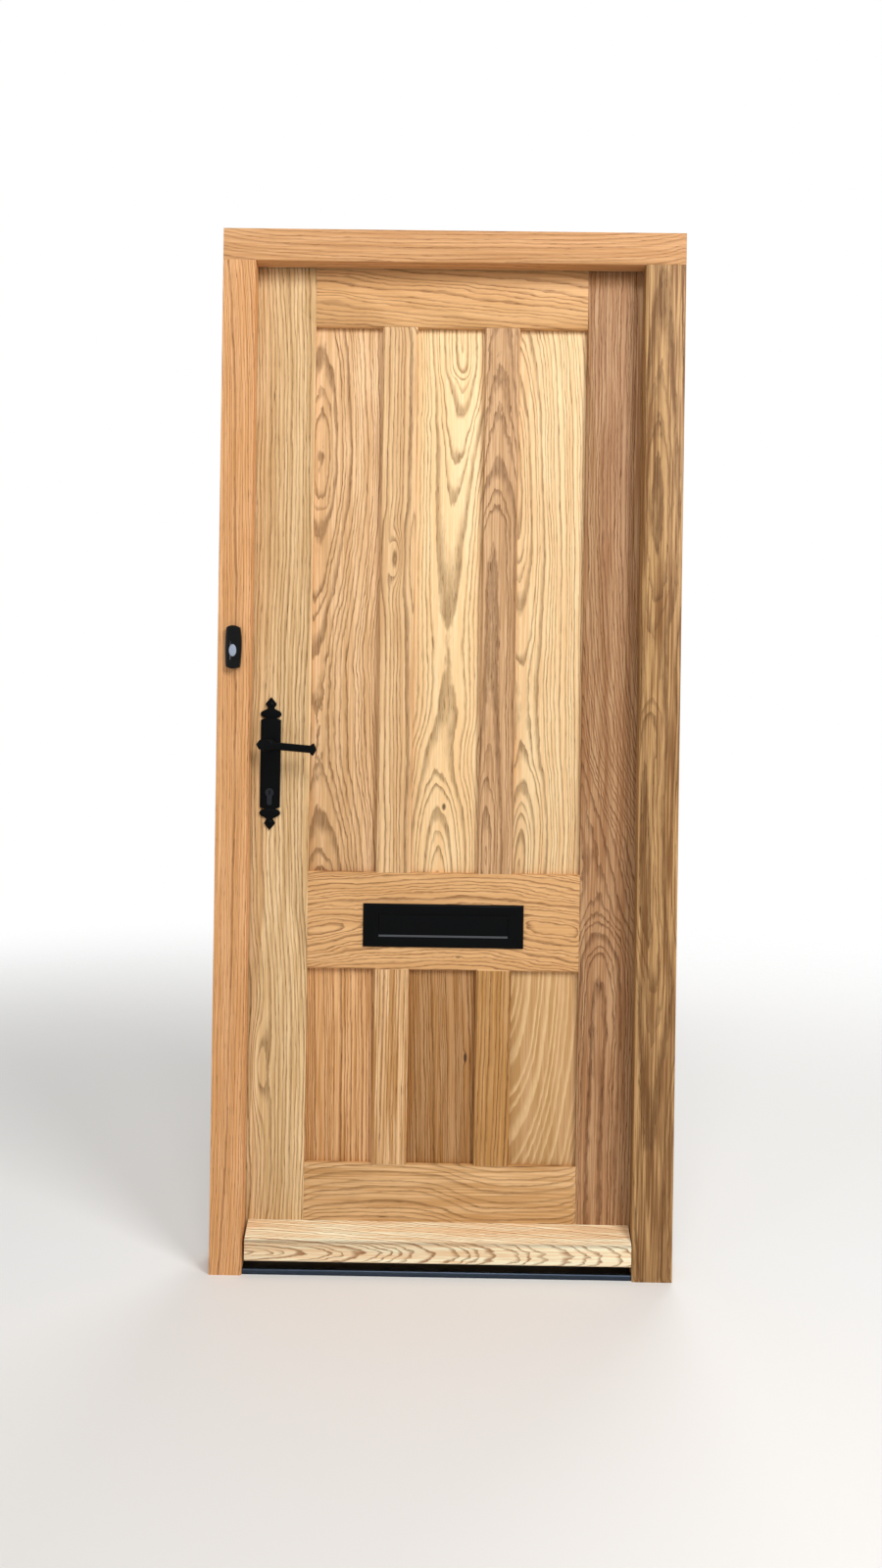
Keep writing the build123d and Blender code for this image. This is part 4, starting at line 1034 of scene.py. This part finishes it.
    def stiles_and_rails(self) -> list[OiledOak]:
        """List the outer members of the leaf.

        Returns:
            The boards.
        """
        return [
            OiledOak("latch_stile", Grain.UPRIGHT, self.stile, Figure(
                ((17, -480), (400, -462), (900, -486), (1400, -478), (1945, -490)),
                ((17, 50), (900, 60), (1945, 54)), ring=7.5, wander=5.0, strength=0.76,
                knots=(Knot(-350, 385, 17, 85, 22), Knot(-338, 1688, 2, 12, 3, 0.7)))),
            OiledOak("hinge_stile", Grain.UPRIGHT, self.brown_stile, Figure(
                ((1945, 160), (1250, 172), (1060, 200), (930, 246), (820, 292), (700, 312), (600, 318),
                 (366, 314), (17, 306)),
                ((1945, 46), (1100, 48), (930, 58), (820, 68), (750, 66), (650, 46), (560, 26), (480, 21),
                 (366, 21), (17, 21)), ring=6.2, wander=5.0, ripple=1.6, strength=0.75)),
            OiledOak("top_rail", Grain.LEVEL, self.rail, Figure(
                ((-260, 2062), (0, 2040), (267, 2010)), ((-260, 60), (267, 70)), ring=9.0, wander=9.0,
                ripple=1.4, strength=0.7, knots=(Knot(1879, -222, 12, 34, 9),))),
            OiledOak("mid_rail", Grain.LEVEL, self.rail, Figure(
                ((-260, 666), (-100, 684), (60, 690), (180, 680), (267, 668)),
                ((-260, 8), (-234, 3), (-180, 12), (-77, 24), (40, 32), (150, 20), (211, 12), (267, 18)),
                wander=8.0, ripple=2.0, strength=0.85, knots=(Knot(605, 33, 3, 7, 5, 0.6),))),
            OiledOak("bottom_rail", Grain.LEVEL, self.foot_rail, Figure(
                ((-260, -60), (-60, -40), (120, -70), (267, -52)), ((-260, 70), (267, 80)), ring=12.0,
                wander=7.0, ripple=1.2, strength=0.7, line_share=0.44)),
            # The darker band along the weatherboard's upper arris is painted shade, laid on as a long thin
            # knot that does not push the rings.
            OiledOak("weatherboard", Grain.LEVEL, self.cream, Figure(
                ((-366, 49), (-100, 51), (370, 48)),
                ((-366, 3), (-200, 20), (0, 44), (200, 66), (370, 84)), ring=3.5, wander=2.4, ripple=1.1,
                strength=1.0, line_share=0.4, knots=(Knot(67, 0, 4.5, 900, 0, 0.3),))),
        ]

    def build(self) -> None:
        """Make every board of the leaf."""
        for board in self.upper_panels() + self.lower_panels():
            board.dress("leaf", "oak_panels")
        for board in self.muntins() + self.stiles_and_rails():
            board.dress("leaf", "pale_oak" if board.node == "weatherboard" else "oak_leaf")


@dataclass(frozen=True)
class Boss:
    """A round boss of the lever: its radius, the depths that it runs between, and its rim's rounding."""

    radius: float
    start: float
    end: float
    rim: float


@dataclass
class Ironwork:
    """Levers, backplates, letter plates and their screws, all in black iron."""

    # Where the lock's parts stand on the leaf, and where its faces lie.
    lock_x: float = -336.0
    spindle_z: float = 1011.0
    cylinder_z: float = 919.0
    plate_z: float = 975.0
    outer_face: float = -7.0
    leaf_middle: float = 20.0
    # The backplate: half its oblong, then the leaves and the diamond, from the plate's middle outwards.
    plate_t: float = 4.0
    plate_edge: float = 1.1
    plate_body: Station = (84.45, 19.5)
    plate_end: tuple[Station, ...] = (
        (88.4, 9.65), (88.9, 13.6), (90.4, 17.2), (93.0, 19.6), (96.0, 20.2), (99.0, 19.4),
        (101.4, 17.0), (103.0, 13.4), (104.8, 9.8), (107.0, 6.0), (110.4, 7.8), (114.2, 10.4),
        (117.0, 10.0), (128.75, 0.0))
    spindle_hole_r: float = 8.3
    key_r: float = 8.8
    key_leg_r: float = 5.3
    key_leg: float = 19.5
    drill: float = 20.0
    # The screw heads.
    screw_reach: float = 114.25
    dome_r: float = 4.3
    dome_rise: float = 1.4
    dome_sink: float = 0.1
    slot_w: float = 0.9
    slot_floor: float = 0.6
    slot_cut: float = 5.0
    # The lever: its straight bar, then its tip and its tail, from the spindle outwards.
    bar: Station = (82.0, 7.2)
    bar_tip: tuple[Station, ...] = ((83.2, 8.6), (87.0, 12.0), (88.6, 11.6), (94.5, 0.0))
    bar_tail: tuple[Station, ...] = ((-11.5, 9.0), (-14.0, 9.3), (-16.0, 7.6), (-21.0, 0.0))
    bar_back: float = -47.0
    bar_t: float = 10.0
    bar_front_edge: float = 2.6
    bar_back_edge: float = 1.2
    droop: float = math.radians(4.5)
    collar_r: float = 11.5
    collar_gap: float = 0.5
    waist_r: float = 9.4
    neck_r: float = 8.0
    # The lip filed at the foot of the outer flap, and the pressed plates.
    lip_h: float = 4.4
    lip_t: float = 2.4
    lip_slope: float = 2.2
    pressed_edge: float = 0.45
    pressed_length: float = 20.0

    def backplate(self) -> Blank:
        """Cut the outside plate: a long oblong drawn out to a pair of round leaves and a diamond.

        Returns:
            The plate.
        """
        body, half = self.plate_body
        middle = (self.lock_x, self.outer_face, self.plate_z)
        made = Blank.sheet("cut_backplate_outside",
                           (self.lock_x - half, self.outer_face, self.plate_z - body),
                           (self.lock_x + half, self.outer_face, self.plate_z + body))
        for way in (1, -1):
            made.stretch(Axis.Z, Axis.X, middle, (self.plate_z + way * body, half),
                         [(self.plate_z + way * place, wide) for place, wide in self.plate_end])
        made.thicken(self.plate_t)
        made.ease(self.plate_edge, 3, lies_at(Axis.Y, self.outer_face - self.plate_t))
        key_foot = self.cylinder_z - self.key_leg
        for radius, z in ((self.key_r, self.cylinder_z), (self.key_leg_r, key_foot),
                          (self.spindle_hole_r, self.spindle_z)):
            made.work(Blank.rod("drill", radius, (self.lock_x, 0.0, z), (self.lock_x, -self.drill, z)),
                      Cut.BORE)
        leg = Blank.sheet("key_leg", (self.lock_x - self.key_leg_r, 0.0, key_foot),
                          (self.lock_x + self.key_leg_r, 0.0, self.cylinder_z))
        leg.thicken(self.drill)
        made.work(leg, Cut.BORE)
        return made

    def screw_head(self, name: str, z: float) -> Blank:
        """Raise the domed and slotted head of a plate screw.

        Args:
            name: Name of the piece.
            z: Its height.

        Returns:
            The head.
        """
        front = self.outer_face - self.plate_t
        ball_r = (self.dome_r ** 2 + self.dome_rise ** 2) / (2 * self.dome_rise)
        made = Blank.ball(name, ball_r, (self.lock_x, front - self.dome_rise + ball_r, z))
        made.saw((self.lock_x, front + self.dome_sink, z), (0.0, 1.0, 0.0))
        floor, side, reach = front - self.slot_floor, self.slot_w / 2, 2 * self.dome_r
        slot = Blank.sheet("slot", (self.lock_x - side, floor, z - reach),
                           (self.lock_x + side, floor, z + reach))
        slot.thicken(self.slot_cut)
        made.work(slot, Cut.BORE)
        return made

    def bosses(self) -> tuple[Boss, ...]:
        """Lay out the lever's bosses, each reaching into the next so that they join to one solid.

        Returns:
            The collar on the plate, the waist, the hub round the bar and the neck in the plate's hole.
        """
        foot = self.outer_face - self.plate_t - self.collar_gap
        front = self.bar_back - self.bar_t
        return (Boss(self.collar_r, foot, foot - 5.5, 1.6),
                Boss(self.waist_r, foot - 3.0, self.bar_back - 1.0, 0.4),
                Boss(self.collar_r, self.bar_back + 3.0, front - 1.0, 2.4),
                Boss(self.neck_r, self.outer_face, foot - 1.0, 0.3))

    def lever(self) -> Blank:
        """Forge the outside lever: a bar drawn to a pointed tail and an arrow end, on a waisted boss.

        Returns:
            The lever, hanging at its rest angle.
        """
        length, half = self.bar
        middle = (0.0, self.bar_back, 0.0)
        made = Blank.sheet("forged_lever_outside", (0.0, self.bar_back, -half),
                           (length, self.bar_back, half))
        made.stretch(Axis.X, Axis.Z, middle, (length, half), self.bar_tip)
        made.stretch(Axis.X, Axis.Z, middle, (0.0, half), self.bar_tail)
        made.thicken(self.bar_t)
        made.ease(self.bar_front_edge, 4, lies_at(Axis.Y, self.bar_back - self.bar_t))
        made.ease(self.bar_back_edge, 2, lies_at(Axis.Y, self.bar_back))
        for boss in self.bosses():
            turned = Blank.rod("boss", boss.radius, (0.0, boss.start, 0.0), (0.0, boss.end, 0.0))
            turned.ease(boss.rim, 3, lambda edge: True, Blank.SQUARE)
            made.work(turned, Cut.JOIN)
        made.carry((self.lock_x, 0.0, self.spindle_z), self.droop)
        return made

    def flap_lip(self) -> Blank:
        """File the finger lip on the outer flap's foot: a bar whose upper arris is cut to a long slope.

        Returns:
            The lip.
        """
        low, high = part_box("letter_flap")
        start = (low.x / MM, low.y / MM + self.lip_t, low.z / MM)
        made = Blank.sheet("filed_flap_lip", start, (high.x / MM, start[1], start[2] + self.lip_h))
        made.thicken(self.lip_t)
        top, front = lies_at(Axis.Z, start[2] + self.lip_h), lies_at(Axis.Y, low.y / MM)
        made.ease(self.lip_slope, 1, lambda edge: top(edge) and front(edge))
        return made

    def hang_both(self, piece: Blank, iron: bpy.types.Material, body: str, *nodes: str) -> None:
        """Finish an outside piece and its twin on the room side of the leaf.

        Args:
            piece: The outside piece.
            iron: The finish of both.
            body: The body that both ride on.
            nodes: The CAD nodes that they stand for, outside and then inside.
        """
        name = piece.thing.name.replace("outside", "inside")
        inside = piece.twin(name, (0.0, 2 * self.leaf_middle, 0.0))
        inside.finish(iron, body, "black_iron", *nodes[1:])
        piece.finish(iron, body, "black_iron", *nodes[:1])

    def build(self) -> None:
        """Make the furniture for both sides and dress all the ironwork."""
        iron = BlackIron().material()
        self.hang_both(self.backplate(), iron, "leaf", "outside_backplate", "inside_backplate")
        self.hang_both(self.lever(), iron, "levers", "outside_lever", "inside_lever")
        for name, way in (("upper", 1), ("lower", -1)):
            head = self.screw_head(f"screw_head_outside_{name}", self.plate_z + way * self.screw_reach)
            self.hang_both(head, iron, "leaf")
        coat("backplate_screws", iron)
        # The lip's iron is painted lighter than the iron round it, a painted highlight, and given more
        # gloss.
        lip_highlight_iron = BlackIron("rubbed_black_iron", "#24282c", "#373c41", 0.7, 0.3).material()
        self.flap_lip().finish(lip_highlight_iron, "outer_flap", "black_iron")
        for node, body in (("letter_plate", "leaf"), ("letter_flap", "outer_flap"),
                           ("inner_letter_plate", "leaf"), ("inner_letter_flap", "inner_flap")):
            made = Blank.merged(f"pressed_{node}", node)
            made.ease(self.pressed_edge, 2, longer_than(self.pressed_length))
            made.finish(iron, body, "black_iron", node)


@dataclass
class BellPush:
    """The bell push on the latch post: glossy black cover, grey oval button on a small steel coil."""

    steel: bpy.types.Material
    travel: float = 1.5
    cover_edge: float = 1.5
    # How far in from the cover's ends and sides, and from its back, an edge still belongs to its rim.
    end_band: float = 6.0
    side_band: float = 3.5
    back_band: float = 5.0
    rim_bend: float = 30.0
    crown: float = 0.9
    # The dome's steps: each one's share of the button's size, and its rise.
    dome_steps: tuple[Station, ...] = ((0.95, 0.3), (0.84, 0.25), (0.66, 0.18), (0.42, 0.11), (0.16, 0.06))

    def cover(self) -> Blank:
        """Round the cover's front arris, as its mould did.

        Returns:
            The cover.
        """
        made = Blank.merged("moulded_bell_cover", "bell_cover")
        low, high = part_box("bell_cover")
        middle = (low + high) / 2
        reach = (high.z - low.z) / 2 - self.end_band * MM
        side = (high.x - low.x) / 2 - self.side_band * MM
        made.ease(self.cover_edge, 4, lambda edge: all(
            v.co.y < high.y - self.back_band * MM
            and (abs(v.co.z - middle.z) > reach or abs(v.co.x - middle.x) > side)
            for v in edge.verts), self.rim_bend)
        return made

    def button(self) -> Blank:
        """Sink the button's rim and raise its face in a low dome.

        Returns:
            The button.
        """
        made = Blank.merged("domed_bell_button", "bell_button")
        low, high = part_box("bell_button")
        made.pick(Rows.FACES, lies_at(Axis.Y, low.y / MM))
        bpy.ops.transform.translate(value=(0.0, self.crown * MM, 0.0))
        size = 1.0
        for share, rise in self.dome_steps:
            bpy.ops.mesh.extrude_region_move(TRANSFORM_OT_translate={"value": (0.0, -rise * MM, 0.0)})
            bpy.ops.transform.resize(value=(share / size, 1.0, share / size),
                                     center_override=(low + high) / 2)
            size = share
        made.rest()
        return made

    def build(self) -> None:
        """Make the bell push."""
        # Polished ABS is deep black with sharp reflections, and moulded polycarbonate a softer, pale grey.
        gloss = Moulded("polished_black_abs", "#030405", "#060708", 0.08, 6.0, 0.01, 0.14).material()
        grey = Moulded("moulded_grey_polycarbonate", "#a3adbd", "#8893a6", 0.3, 2.5, 0.05).material()
        coat("bell_base", gloss)
        self.cover().finish(gloss, "frame", "bell_black", "bell_cover")
        self.button().finish(grey, "bell_push_button", "bell_button_grey", "bell_button")
        coil = Blank.merged("coiled_bell_spring", "bell_spring")
        coil.finish(self.steel, "frame", "plated_steel", "bell_spring")
        coil.shorten("bell_press", Axis.Y, self.travel)


@dataclass
class LockAndHinges:
    """The mortice lock, its cylinder, the hinges and every steel screw."""

    steel: bpy.types.Material
    rim: float = 1.0
    rim_length: float = 0.6
    latch_travel: float = 12.0
    steel_nodes: tuple[str, ...] = (
        "cylinder_screw", "dead_bolt", "door_hinge_plates", "door_screws", "flap_pin", "follower",
        "frame_hinge_plates", "frame_screws", "hinge_pins", "inner_flap_pin", "latch_bolt", "letter_bolts",
        "lock_case", "lock_cover", "lock_faceplate", "spindle", "strike_plate")

    def turned(self, node: str, material: bpy.types.Material, body: str) -> None:
        """Round the rims at a cylinder part's two ends, which catch the light.

        Args:
            node: The CAD node.
            material: Its finish.
            body: The body that it rides on.
        """
        made = Blank.merged("turned_" + node, node)
        long_enough = longer_than(self.rim_length)
        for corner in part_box(node):
            at_end = lies_at(Axis.Y, corner.y / MM)
            made.ease(self.rim, 3, lambda edge: long_enough(edge) and at_end(edge))
        made.finish(material, body, "cylinder_black", node)

    def build(self) -> None:
        """Make the cylinder and dress the steel."""
        # Black plating over drawn brass stays a metal to the eye: a dark satin with faint lines.
        black = DrawnMetal("black_plated_brass", "#1e1f22", "#34363a", 0.26, Axis.Y).material()
        for node in self.steel_nodes:
            coat(node, self.steel)
        coil = Blank.merged("coiled_latch_spring", "latch_spring")
        coil.finish(self.steel, "leaf", "plated_steel", "latch_spring")
        coil.shorten("latch_slide", Axis.X, self.latch_travel)
        for node, body in (("cylinder_body", "leaf"), ("outside_plug", "plugs"), ("inside_plug", "plugs")):
            self.turned(node, black, body)
        coat("cylinder_cam", black)


@dataclass
class ThresholdAndSeals:
    """The black threshold under the leaf and the rubber strips round it."""

    edge: float = 0.9
    long_edge: float = 30.0
    seals: tuple[str, ...] = ("head_seal", "hinge_seal", "latch_seal", "threshold_seal")

    def build(self) -> None:
        """Dress the threshold and the seals."""
        # Anodising leaves the extruded bar blue-black, with a soft shine along its length.
        black = DrawnMetal("black_anodised_aluminium", "#2b333e", "#465160", 0.28).material()
        sill = Blank.merged("extruded_threshold", "threshold")
        sill.ease(self.edge, 3, longer_than(self.long_edge))
        sill.finish(black, "frame", "black_threshold", "threshold")
        # Extruded rubber is matt and shows no highlight.
        rubber = Moulded("extruded_black_rubber", "#141517", "#1d1e20", 0.7, 1.5, 0.05).material()
        for node in self.seals:
            coat(node, rubber)


@dataclass(frozen=True)
class Lamp:
    """A square soft light: its name, its place and side in metres, and its power in watts."""

    name: str
    place: Spot
    side: float
    power: float

    def hang(self, aim: Spot) -> None:
        """Hang the light.

        Args:
            aim: The point that it faces.
        """
        data = bpy.data.lights.new(self.name, "AREA")
        data.shape = "SQUARE"
        data.size = self.side
        data.energy = self.power
        light = bpy.data.objects.new(self.name, data)
        light.location = self.place
        light.rotation_euler = (Vector(aim) - Vector(self.place)).to_track_quat("-Z", "Y").to_euler()
        bpy.context.collection.objects.link(light)


@dataclass
class Studio:
    """Camera, pale floor and soft lights."""

    # The camera: its place in metres, its turns in radians, and its picture in pixels.
    eye: Spot = (0.00646, -2.2123, 1.04607)
    heading: float = 0.0066
    roll: float = 0.0145
    focal_px: float = 1160.78
    tall_px: float = 1600.0
    axis_px: tuple[float, float] = (449.03, 744.21)
    middle_px: tuple[float, float] = (450.0, 800.0)
    film: float = 36.0
    # The floor, which fades out between two distances from the door.
    floor_w: float = 9.0
    fade_from: float = 1.4
    fade_to: float = 4.2
    floor_white: str = "#f1f0ee"
    sky_level: float = 0.39
    aim: Spot = (0.0, 0.0, 1.0)
    lamps: tuple[Lamp, ...] = (
        Lamp("key", (2.3, -3.0, 3.3), 1.5, 104.0), Lamp("fill", (-3.0, -3.6, 1.4), 0.4, 12.0),
        Lamp("top", (0.0, -2.4, 3.9), 0.9, 37.0), Lamp("back", (1.5, 4.0, 3.0), 3.0, 80.0))

    def camera(self) -> None:
        """Stand the camera where the picture was taken from."""
        data = bpy.data.cameras.new("camera")
        data.sensor_fit = "VERTICAL"
        data.sensor_height = self.film
        data.lens = self.focal_px * self.film / self.tall_px
        data.shift_x = (self.middle_px[0] - self.axis_px[0]) / self.tall_px
        data.shift_y = (self.axis_px[1] - self.middle_px[1]) / self.tall_px
        camera = bpy.data.objects.new("camera", data)
        turn = (Matrix.Rotation(self.heading, 4, "Z") @ Matrix.Rotation(math.radians(90), 4, "X")
                @ Matrix.Rotation(self.roll, 4, "Z"))
        camera.matrix_world = Matrix.Translation(self.eye) @ turn
        bpy.context.collection.objects.link(camera)
        bpy.context.scene.camera = camera

    def sky(self) -> None:
        """Light the door evenly from all round, and show plain white behind it and in its gloss."""
        world = bpy.data.worlds.new("studio")
        bpy.context.scene.world = world
        made = ShaderTree(world)
        rays = made.add("LightPath").node.outputs
        seen = made.add("Math", {0: rays["Is Camera Ray"], 1: rays["Is Glossy Ray"]},
                        operation="MAXIMUM")
        level = made.add("MapRange", {0: seen, 3: self.sky_level, 4: 1.0})
        back = made.tree.nodes["Background"].inputs
        made.join(level, back["Strength"])
        made.join(linear("#ffffff"), back["Color"])

    def floor(self) -> None:
        """Lay the pale floor, which fades into the backdrop away from the door."""
        bpy.ops.object.select_all(action="DESELECT")
        bpy.ops.mesh.primitive_plane_add(size=self.floor_w)
        ground = bpy.context.active_object
        ground.name = "studio_floor"
        made = Finish("painted_studio_floor")
        spot = made.add("TexCoord", out="Object")
        far = made.add("VectorMath", {0: spot}, out="Value", operation="LENGTH")
        here = made.add("MapRange", {0: far, 1: self.fade_to, 2: self.fade_from},
                        interpolation_type="SMOOTHSTEP")
        ground.data.materials.append(made.shade(base_color=linear(self.floor_white), roughness=0.9,
                                                alpha=here))

    def build(self) -> None:
        """Set everything up."""
        bpy.context.scene.view_settings.view_transform = "Standard"
        self.camera()
        self.sky()
        self.floor()
        for lamp in self.lamps:
            lamp.hang(self.aim)


def main() -> None:
    """Build each part of the door in turn."""
    logging.basicConfig(level=logging.INFO, format="%(message)s")
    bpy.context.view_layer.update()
    # Nickel plating leaves the drawn steel pale grey, a blurred mirror with fine lines.
    steel = DrawnMetal("nickel_plated_steel", "#c3c4c4", "#aeb0b2", 0.3, Axis.Z).material()
    for part in (Studio(), OakFrame(), OakLeaf(), Ironwork(), BellPush(steel), LockAndHinges(steel),
                 ThresholdAndSeals()):
        part.build()


if __name__ == "__main__":
    main()
